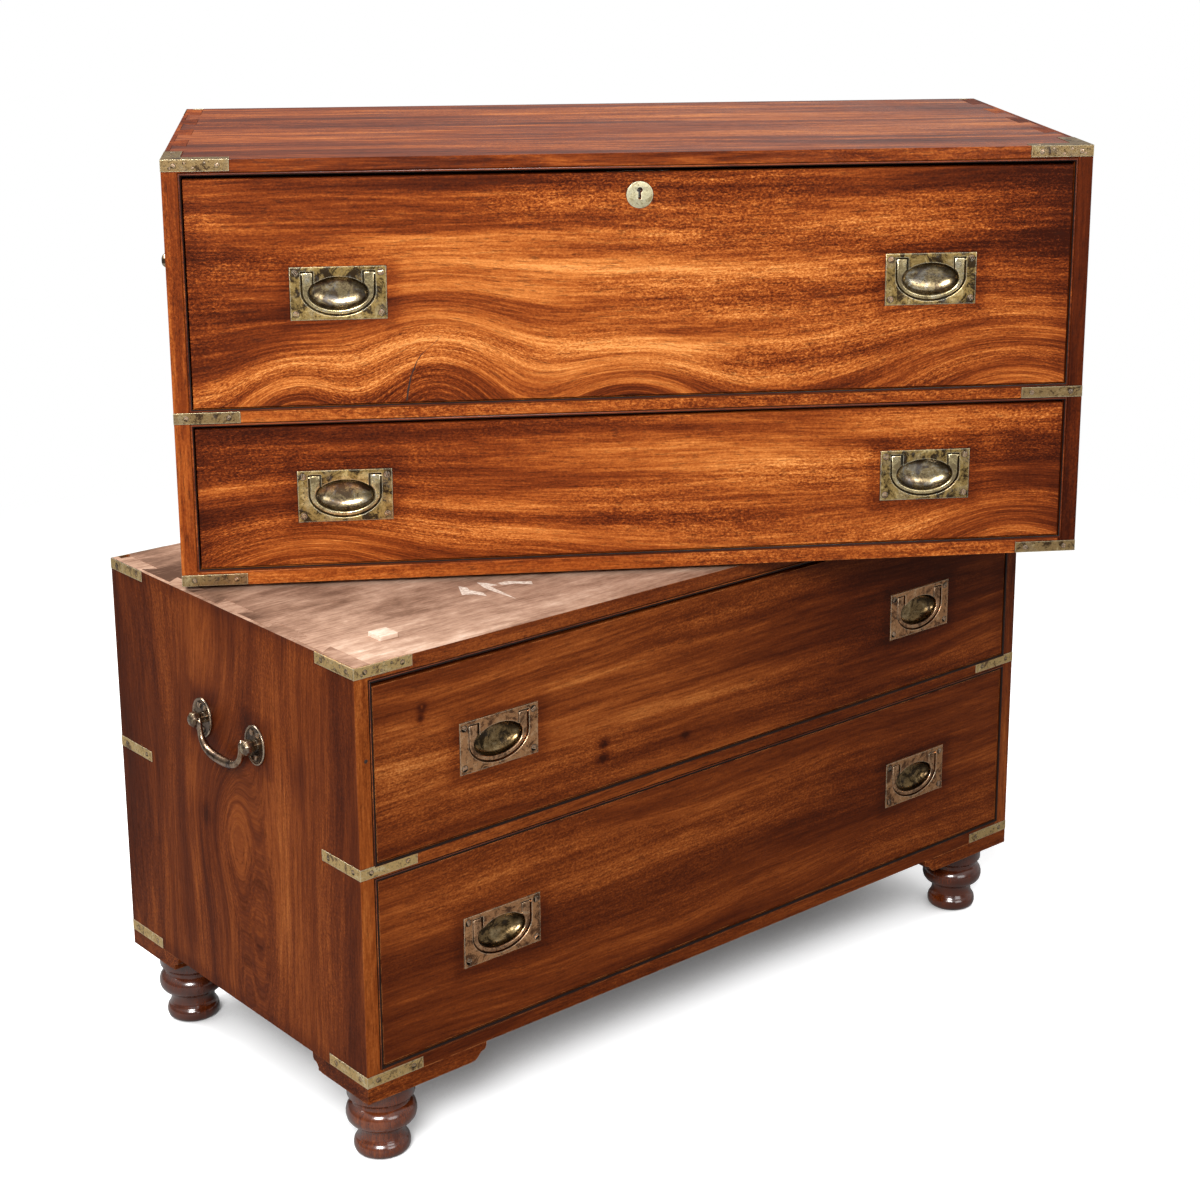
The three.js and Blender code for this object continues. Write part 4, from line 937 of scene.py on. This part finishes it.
w, h = pull["width"] / 2, pull["height"] / 2
plateOuter, plateInner = pullLines(pull["gap"], pull["gap"], 0, False, pull["steps"] // 2)
rectangle = [(-w, -h), (w, -h), (w, h), (-w, h)]
flange = slab("flange", [rectangle, plateOuter + plateInner], pull["flange"], *pull["flangeSoft"])
floorOuter, webInner = pullLines(pull["wideGap"], pull["gap"], 0, False, pull["steps"] // 2)
bowlRing = ring(pull["bowlX"], pull["bowlZ"], pull["steps"])
channelFloor = slab("channelFloor", [floorOuter[:-1], bowlRing], pull["floor"])
web = slab("web", [floorOuter[-1:] + webInner], pull["channel"] + pull["webTo"] - pull["webFrom"])
plateMesh = joined("pullPlate", [
    (flange, standing(pull["flange"] / 2 - pull["proud"])),
    (channelFloor, standing(pull["channel"] + pull["floor"] / 2)),
    (web, standing((pull["channel"] + pull["webTo"] + pull["webFrom"]) / 2))])
# Painted shade grows with depth into the channel
shadePainted(plateMesh, lambda i, point: min(
    0.95, max(0.0, point.y - pull["flange"] * 0.5 + pull["proud"]) / pull["shadeDepth"]))
points = []
lip = pull["channel"] - pull["lipDepth"]
for r in range(pull["bowlRings"] + 1):
    angle = math.pi / 2 * r / pull["bowlRings"]
    out = math.cos(angle) ** pull["bowlShare"]
    depth = lip + (pull["bowlDepth"] - lip) * math.sin(angle) ** pull["depthShare"]
    points += [(x, depth, z) for x, z in ring(pull["bowlX"] * out, pull["bowlZ"] * out, pull["steps"])]
bowlMesh = meshFrom("bowl", points, ringFaces(pull["bowlRings"] + 1, pull["steps"], inside=True))
bowlMesh.shade_smooth()


# Painted shadow of the web as a crescent at the top of the bowl, and painted shade at its rim
def bowlShade(i, point):
    rise, across = point.z / pull["bowlZ"], point.x / pull["bowlX"]
    out = math.hypot(across, rise)
    crescent = clamp((rise + 0.35 * across) * 2) * clamp((out - 0.5) / 0.22)
    return min(1.0, 1.15 * crescent + max(0.0, out - 0.9) * 3)


shadePainted(bowlMesh, bowlShade)
bailOuter, bailInner = pullLines(0, 0, pull["room"], True, pull["steps"])
bailMiddle = pull["bailDepth"] + pull["bailThickness"] / 2
bailRing = slab("bail", [bailOuter + bailInner], pull["bailThickness"], *pull["bailSoft"])
bailParts = [(bailRing, standing(bailMiddle))]
pinMesh = lathe("pin", pull["pin"], pull["pinSides"])
for sx in sides.values():
    end = (sx * (pull["bailHalf"] - pull["pinIn"]), bailMiddle, pull["bailTop"] - pull["pinDown"])
    bailParts.append((pinMesh, move(end) @ toSide[sx]))
bailMesh = joined("pullBail", bailParts)


def middleHeight(node, case):
    low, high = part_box(node)
    return (caseFrames[case].inverted() @ ((low + high) / 2)).z


metals = {"upper": ("plate", "bowl", "bail"), "lower": ("rosyPlate", "shadedLowerBowl", "rosyBail")}
for case in ("upper", "lower"):
    plateMetal, bowlMetal, bailMetal = (brass[metal] for metal in metals[case])
    for level, (side, sx) in itertools.product(("top", "bottom"), sides.items()):
        drawer, key = f"{case}_{level}_drawer", f"{case}_{level}_{side}_pull"
        name = f"{case}_{level}-{side}"
        place = caseFrames[case] @ move((sx * pull["x"], pull["y"], middleHeight(f"{key}_plate", case)))
        plate = newObject(f"{name}-plate-brass", placedCopy(plateMesh, place, pull["plateCrease"]))
        dress(plate, drawer, plateMetal, "aged_brass", f"{key}_plate")
        dish = bowlMesh.copy()
        dish.transform(place)
        dress(newObject(f"{name}-bowl-brass", dish), drawer, bowlMetal, "aged_brass")
        bail = newObject(f"{name}-bail-brass", placedCopy(bailMesh, place, pull["bailCrease"]))
        dress(bail, f"{key}_bail", bailMetal, "aged_brass", f"{key}_bail")
        for ux, uz in itertools.product((-1, 1), (-1, 1)):
            point = (ux * pull["screw"][0], -pull["proud"], uz * pull["screw"][1])
            addScrew(drawer, place @ move(point) @ upright, 1.0)
print("pulls made")


# Marks of age in millimetres: a crack in the top drawer, a nail in the stile, splashes on the lower top
age = {
    "crack": [(-216, 268, 0.3), (-222, 262, 0.7), (-228, 257, 0.5), (-236, 250, 0.9), (-241, 243, 0.6),
              (-245, 233, 1.0), (-248, 226, 0.7), (-251, 213, 1.1), (-253, 200, 0.8)],
    "crackDepth": -244.06,
    "nail": (-489, 360), "nailProfile": [(0, 0.3), (2.1, 0.1), (2.1, -0.3), (0, -0.3)],
    "splashThickness": 0.12,
    "splashes": [
        [(-265, -99), (-261, -110), (-264, -118), (-258, -134), (-262, -147), (-269, -132), (-280, -126),
         (-274, -115)],
        [(-242, -102), (-235, -110), (-230, -124), (-239, -122), (-241, -147), (-244, -174), (-247, -138),
         (-247, -122)],
        [(-226, -118), (-213, -120), (-194, -138), (-199, -146), (-212, -132), (-226, -127)]],
}
crackMaterial = speckledMaterial("crackDark", {
    "noise": (900.0,), "stops": [(0.3, (0.006, 0.003, 0.002)), (0.7, (0.03, 0.012, 0.006))],
    "rough": 0.8, "metallic": 0.0})
splashMaterial = speckledMaterial("splashPale", {
    "noise": (260.0, 4.0, 0.7), "stops": [(0.35, (0.50, 0.36, 0.27)), (0.6, (0.86, 0.78, 0.68))],
    "rough": 0.8, "metallic": 0.0})
points, faces = [], []
for k, (x, z, wide) in enumerate(age["crack"]):
    points += [Vector((x + s * wide, age["crackDepth"], z + s * wide / 2)) * mm for s in (-1, 1)]
    if k:
        faces.append((2 * k - 2, 2 * k - 1, 2 * k + 1, 2 * k))
crack = meshFrom("crack", points, faces)
crack.transform(caseFrames["upper"])
dress(newObject("drawer-crack", crack), "upper_top_drawer", crackMaterial, "mahogany")
nailX, nailZ = age["nail"]
nail = lathe("nail", age["nailProfile"], 20)
nail.flip_normals()
nail.transform(caseFrames["lower"] @ move((nailX * mm, -halfDepth, nailZ * mm)) @ upright)
dress(newObject("stile-nail", nail), "lower_case", crackMaterial, "mahogany")
for number, outline in enumerate(age["splashes"]):
    splash = slab("splash", [[(x * mm, y * mm) for x, y in outline]], age["splashThickness"] * mm)
    splash.transform(caseFrames["lower"] @ move((0, 0, chest["heights"]["lower"])))
    dress(newObject(f"top-splash-{number}", splash), "lower_case", splashMaterial, "bare_top")
print("marks of age laid")


# Escutcheon and lock
disc = {
    "radius": 14.5 * mm, "thickness": 2 * mm, "y": -243.8 * mm, "keyRadius": 3 * mm, "slot": 1.5 * mm,
    "rise": 5 * mm, "drop": 5 * mm, "screwX": 9.5 * mm, "screwY": -0.8 * mm, "screwSize": 0.36,
    "screwSpin": 0.2, "steps": 64, "soft": (0.35 * mm, 3), "crease": 35, "lockSoft": 0.3 * mm,
}
start = -math.acos(disc["slot"] / disc["keyRadius"])
keyhole = arc(disc["keyRadius"], disc["keyRadius"], start, math.pi - 2 * start, 24, disc["rise"])
keyhole += [(-disc["slot"], -disc["drop"]), (disc["slot"], -disc["drop"])]
discRing = ring(disc["radius"], disc["radius"], disc["steps"])
discMesh = slab("escutcheon", [discRing, keyhole], disc["thickness"], *disc["soft"])
discPlace = caseFrames["upper"] @ move((0, disc["y"], middleHeight("escutcheon", "upper")))
discMesh.transform(discPlace @ upright)
sharpened(discMesh, disc["crease"])
escutcheon = newObject("escutcheon-brass", discMesh)
dress(escutcheon, "upper_top_drawer", brass["disc"], "aged_brass", "escutcheon")
for sx in sides.values():
    place = discPlace @ move((sx * disc["screwX"], disc["screwY"], 0)) @ upright
    addScrew("upper_top_drawer", place, disc["screwSize"], disc["screwSpin"] + sx)
for node, body in (("lock_case", "upper_top_drawer"), ("lock_bolt", "lock_bolt")):
    dress(softened(nodeCopy(node, "steel"), disc["lockSoft"]), body, steel, "steel", node)
print("lock made")


# Carrying handles: rosettes and faceted posts on the side boards, and their bails
handle = {
    "spacing": 108 * mm, "bore": 11.5 * mm, "oval": 0.86, "sides": 16, "curveSteps": 5,
    "rosette": [
        (0, 0), (22.3, 0), (22.5, 0.5), (22.5, 1.6), (22.0, 2.5), (21.0, 2.8), (19.8, 2.3), (19.0, 1.3),
        (18, 1.1), (0, 1.2)],
    "rosetteShade": (19.5 * mm, 0.7),
    "post": [
        (0, 0.8), (6.9, 0.8), (6.5, 2.0), (6.3, 4.6), (6.6, 6.2), (8.0, 7.4), (8.6, 8.8), (8.6, 13.0),
        (7.9, 14.8), (5.8, 16.9), (3.2, 17.8), (0, 18)],
    "postSides": 8,
    "bail": [
        (1, -0.16, 0.7), (1, -0.1, 1.8), (1, -0.02, 2.8), (1, 0.08, 3.2), (0.99, 0.28, 3.2),
        (0.91, 0.6, 3.7), (0.7, 0.85, 4.5), (0.37, 0.97, 5.2), (0, 1, 5.4)],
    "drop": 30.5 * mm, "leg": 42.5 * mm, "pin": [(0, 0), (2.2, 0), (2.2, 14), (0, 14)], "pinAt": 42 * mm,
    "screwSpins": (-0.45, 0.45, math.pi), "screwOut": 1.9 * mm, "screwRing": 14 * mm, "screwSize": 0.95,
    "plateCrease": 35, "postSoft": (0.5 * mm, 28), "bailCrease": 50,
}
shadeRadius, shadeAmount = handle["rosetteShade"]
# Painted shade on the sunk middle of the backplate, round the post
rosetteMesh = shadePainted(lathe("rosette", handle["rosette"], 64), lambda i, point: (
    shadeAmount if math.hypot(point.x, point.y) < shadeRadius else 0.0))
postMesh = lathe("post", handle["post"], handle["postSides"])
postMesh.transform(rotation(180 / handle["postSides"], "Z"))
arm = [(handle["leg"] * a, -handle["drop"] * d, r * mm) for a, d, r in handle["bail"]]
path = smoothCurve(arm + [(-y, z, r) for y, z, r in reversed(arm[:-1])], handle["curveSteps"])
points = []
for i, (y, z, r) in enumerate(path):
    before, after = path[max(0, i - 1)], path[min(len(path) - 1, i + 1)]
    inward = Vector((0, after[1] - before[1], before[0] - after[0])).normalized()
    points += [Vector((x, y, z)) + inward * s for x, s in ring(r, r, handle["sides"])]
sweep = meshFrom("handleSweep", points, cappedFaces(len(path), handle["sides"]))
sweep.shade_smooth()
bigPin = lathe("handlePin", handle["pin"], handle["sides"])
bailParts = [(sweep, Matrix.Identity(4))]
for s in (-1, 1):
    bailParts.append((bigPin, move((0, s * handle["pinAt"], 0)) @ rotation(-90 * s, "X")))
handleBail = joined("handleBail", bailParts)
for case in ("lower", "upper"):
    for side, sx in sides.items():
        outward = toSide[sx]
        height = chest["handles"][case]
        plates, posts = [], []
        for sy in (-1, 1):
            middle = sy * handle["spacing"] / 2
            seat = move((sx * halfWidth, middle, height)) @ outward
            plates.append((rosetteMesh, seat @ Matrix.Diagonal((1, handle["oval"], 1, 1))))
            posts.append((postMesh, seat))
            for spin in handle["screwSpins"]:
                y = middle + handle["screwRing"] * math.sin(spin)
                z = height + handle["screwRing"] * math.cos(spin)
                caseScrew(case, (sx * (halfWidth + handle["screwOut"]), y, z), outward, handle["screwSize"])
        backplates, postPair = (joined("handleParts", parts) for parts in (plates, posts))
        for mesh in (backplates, postPair):
            mesh.transform(caseFrames[case])
        sharpened(backplates, handle["plateCrease"])
        mounted = newObject(f"{case}-{side}-backplates-brass", backplates)
        dress(mounted, f"{case}_case", brass["handle"], "aged_brass")
        mounted = softened(newObject(f"{case}-{side}-posts-brass", postPair), *handle["postSoft"])
        dress(mounted, f"{case}_case", brass["post"], "aged_brass")
        place = caseFrames[case] @ move((sx * (halfWidth + handle["bore"]), 0, height))
        swung = placedCopy(handleBail, place, handle["bailCrease"])
        swing = newObject(f"{case}-{side}-carrying-bail-brass", swung)
        bail = f"{case}_{side}_carrying_bail"
        dress(swing, bail, brass["handle"], "aged_brass", bail)
print("carrying handles made")


# All screws of a body in one piece
group = screwGroup(screwSource, brass["screw"])
for body, places in sorted(screwLists.items()):
    base = meshFrom(f"screws-{body}", [point for point, _, _ in places], [])
    spins = base.attributes.new("spin", "FLOAT_VECTOR", "POINT")
    for i, (_, spin, _) in enumerate(places):
        spins.data[i].vector = spin
    sizes = base.attributes.new("size", "FLOAT", "POINT")
    for i, (_, _, size) in enumerate(places):
        sizes.data[i].value = size
    thing = newObject(f"screws-{body.replace('_', '-')}", base)
    modifier = thing.modifiers.new("screws", "NODES")
    modifier.node_group = group
    dress(bakeModifiers(thing), body, brass["screw"], "aged_brass")
bpy.data.objects.remove(screwSource)
print("screws set")


# Feet, turned from one profile
foot = {
    "x": 452.5 * mm, "y": 197.5 * mm, "sides": 72, "crease": 38,
    "profile": [
        (0, 0), (25, 0), (27.2, 1.0), (29.4, 3.2), (30.4, 6.2), (30.5, 9.6), (29.8, 13), (28.2, 15.6),
        (27.2, 16.6), (27.0, 17.8), (26.2, 19), (25.5, 22), (25.3, 26), (25.9, 30), (27.6, 33.2),
        (30.4, 34.6), (31.6, 35.0), (34.4, 36.6), (36.8, 39.8), (38, 44.6), (37.9, 48), (37, 52),
        (34.8, 55.6), (32.2, 57.6), (31.2, 58.4), (31.2, 62.6), (32.4, 64.4), (34.6, 66.2), (36.2, 67.4),
        (36.5, 68.6), (36.5, 87.7), (0, 87.7)],
}
footWood = woodMaterial("foot_wood", "lower", "z", {
    "seed": 16, "tone": 0.27, "streak": 0.5, "ripple": 0.5, "gloss": 0.2, "coat": 1.0, "specular": 0.7,
    "ramp": brownRamp, "pore": 0.3})
for (depth, sy), (side, sx) in itertools.product((("front", -1), ("rear", 1)), sides.items()):
    mesh = lathe(f"foot-{depth}-{side}", foot["profile"], foot["sides"])
    mesh.transform(move(chest["middle"] + Vector((sx * foot["x"], sy * foot["y"], 0))))
    sharpened(mesh, foot["crease"])
    turned = newObject(f"foot-{depth}-{side}-turned", mesh)
    dress(turned, "lower_case", footWood, "dark_mahogany", f"foot_{depth}_{side}")
print("feet turned")


# Corner blocks with their ogee ends
bracket = {
    "drop": 18 * mm, "front": 153 * mm, "side": 104 * mm, "thickness": 21 * mm, "ogee": 20 * mm,
    "ogeeShare": 0.75, "low": (-499.5 * mm, -244.5 * mm, -17.9 * mm), "high": (-406 * mm, -151 * mm, 0),
    "soft": (0.6 * mm, 40),
}
bracketWood = woodMaterial("bracket_wood", "lower", "x", {
    "seed": 17, "tone": 0.40, "ramp": brownRamp, "wear": 0.5})


def bezier(corners, steps):
    made = []
    for k in range(1, steps + 1):
        line = corners
        while len(line) > 1:
            line = [tuple(a + (b - a) * k / steps for a, b in zip(p, q)) for p, q in zip(line, line[1:])]
        made.append(line[0])
    return made


def bracketOutline(length):
    drop, run = bracket["drop"], bracket["ogee"]
    flat, bend = length - run, length - run + run * bracket["ogeeShare"]
    made = [(0, 0), (0, -drop), (flat, -drop)]
    made += bezier([
        (flat, -drop), (flat + run / 2, -drop), (flat + run / 2, -drop / 2), (bend, -drop / 2)], 12)
    return made + bezier([(bend, -drop / 2), (length, -drop / 2), (length, 0)], 8)


half = bracket["thickness"] / 2
frontBlock = slab("apronFront", [bracketOutline(bracket["front"])], bracket["thickness"])
frontBlock.transform(move((-halfWidth, -halfDepth + half, 0)) @ upright)
sideBlock = slab("apronSide", [bracketOutline(bracket["side"])], bracket["thickness"])
sideBlock.transform(move((-halfWidth + half, -halfDepth, 0)) @ rotation(90, "Z") @ upright)
ranges = list(zip(bracket["low"], bracket["high"]))
centre = meshFrom("blockCentre", [(x, y, z) for z in ranges[2] for y in ranges[1] for x in ranges[0]], [
    (0, 2, 3, 1), (4, 5, 7, 6), (0, 1, 5, 4), (2, 6, 7, 3), (0, 4, 6, 2), (1, 3, 7, 5)])
corners = {"front-left": (1, 1), "front-right": (-1, 1), "rear-left": (1, -1), "rear-right": (-1, -1)}
for corner, (sx, sy) in corners.items():
    mirror = caseFrames["lower"] @ Matrix.Diagonal((sx, sy, 1, 1))
    block = newObject(f"corner-block-{corner}", joined(f"corner-block-{corner}", [(frontBlock, mirror)]))
    for part in (sideBlock, centre):
        other = newObject("blockPart", joined("blockPart", [(part, mirror)]))
        union = block.modifiers.new("union", "BOOLEAN")
        union.operation = "UNION"
        union.object = other
        bakeModifiers(block)
        bpy.data.objects.remove(other)
    dress(softened(block, *bracket["soft"]), "lower_case", bracketWood, "mahogany")
print("corner blocks made")


# Floor and world: white to the camera, and darker to what the chest's polish reflects
ground = {
    "half": 7.0, "colour": (0.8, 0.8, 0.8, 1), "rough": 0.9, "specular": 0.1, "fade": (0.95, 2.4),
    "dim": (0.25, 0.25, 0.25, 1), "lift": 0.62, "reach": 0.26, "open": (0.14, 0.5),
}
white = (1, 1, 1, 1)
half = ground["half"]
points = [(-half, -half, 0), (half, -half, 0), (half, half, 0), (-half, half, 0)]
floorMesh = meshFrom("floor", points, [(0, 1, 2, 3)])
floorObject = newObject("floor", floorMesh)
floorMaterial, tree, shader = newTree("floorWhite")
setInputs(tree, shader, {
    "Base Color": ground["colour"], "Roughness": ground["rough"], "Specular IOR Level": ground["specular"]})
distance = add(tree, "ShaderNodeVectorMath", {0: objectPlace(tree)}, "Value", operation="LENGTH")
seen = add(tree, "ShaderNodeLightPath", output="Is Camera Ray")
openness = add(tree, "ShaderNodeAmbientOcclusion", {"Distance": ground["reach"]}, "AO", samples=16)
lift = add(tree, "ShaderNodeEmission", {
    "Color": white, "Strength": remap(openness, *ground["open"]) * ground["lift"]})
dim = add(tree, "ShaderNodeBsdfDiffuse", {"Color": ground["dim"]})
lifted = add(tree, "ShaderNodeAddShader", {0: Wire(tree, shader.outputs[0]), 1: lift})
near = add(tree, "ShaderNodeMixShader", {0: seen, 1: dim, 2: lifted})
glow = add(tree, "ShaderNodeEmission", {"Color": white, "Strength": 1.0})
done = add(tree, "ShaderNodeMixShader", {0: remap(distance, *ground["fade"]) * seen, 1: near, 2: glow})
setInputs(tree, tree.nodes["Material Output"], {"Surface": done})
floorMesh.materials.append(floorMaterial)

sky = {"overhead": (0.15, 0.85, 0.16, 0.62), "behind": (0.42, 0.8), "low": (0.6, 0.0, 0.0, 0.26)}
world = bpy.data.worlds.new("studio")
bpy.context.scene.world = world
world.use_nodes = True
tree = world.node_tree
toward = split(add(tree, "ShaderNodeTexCoord", output="Generated"))
behind = remap(toward[0], *sky["behind"]) * remap(toward[2], *sky["low"])
background = tree.nodes["Background"]
setInputs(tree, background, {"Color": white, "Strength": remap(toward[2], *sky["overhead"]) + behind})
direct = add(tree, "ShaderNodeBackground", {"Color": white, "Strength": 1.0})
seen = add(tree, "ShaderNodeLightPath", output="Is Camera Ray")
shown = add(tree, "ShaderNodeMixShader", {0: seen, 1: Wire(tree, background.outputs[0]), 2: direct})
setInputs(tree, tree.nodes["World Output"], {"Surface": shown})

lights = {
    "keyLeft": {"place": (-2.9, -2.6, 2.7), "size": (1.5, 1.2), "power": 200, "aim": (0, 0, 0.6)},
    "fillFront": {"place": (-0.3, -4.4, 1.9), "size": (2.2, 1.8), "power": 40, "aim": (0, 0, 0.5)},
    "topBack": {"place": (-1.2, 1.6, 3.4), "size": (2.2, 1.4), "power": 130, "aim": (0, 0, 0.6)},
}
for name, look in lights.items():
    data = bpy.data.lights.new(name, "AREA")
    data.shape = "RECTANGLE"
    data.size, data.size_y = look["size"]
    data.energy = look["power"]
    lamp = newObject(name, data)
    lamp.location = look["place"]
    lamp.rotation_euler = (Vector(look["place"]) - Vector(look["aim"])).to_track_quat("Z", "Y").to_euler()
bpy.context.scene.view_settings.view_transform = "Standard"
bpy.context.scene.view_settings.look = "None"
print("studio lit")
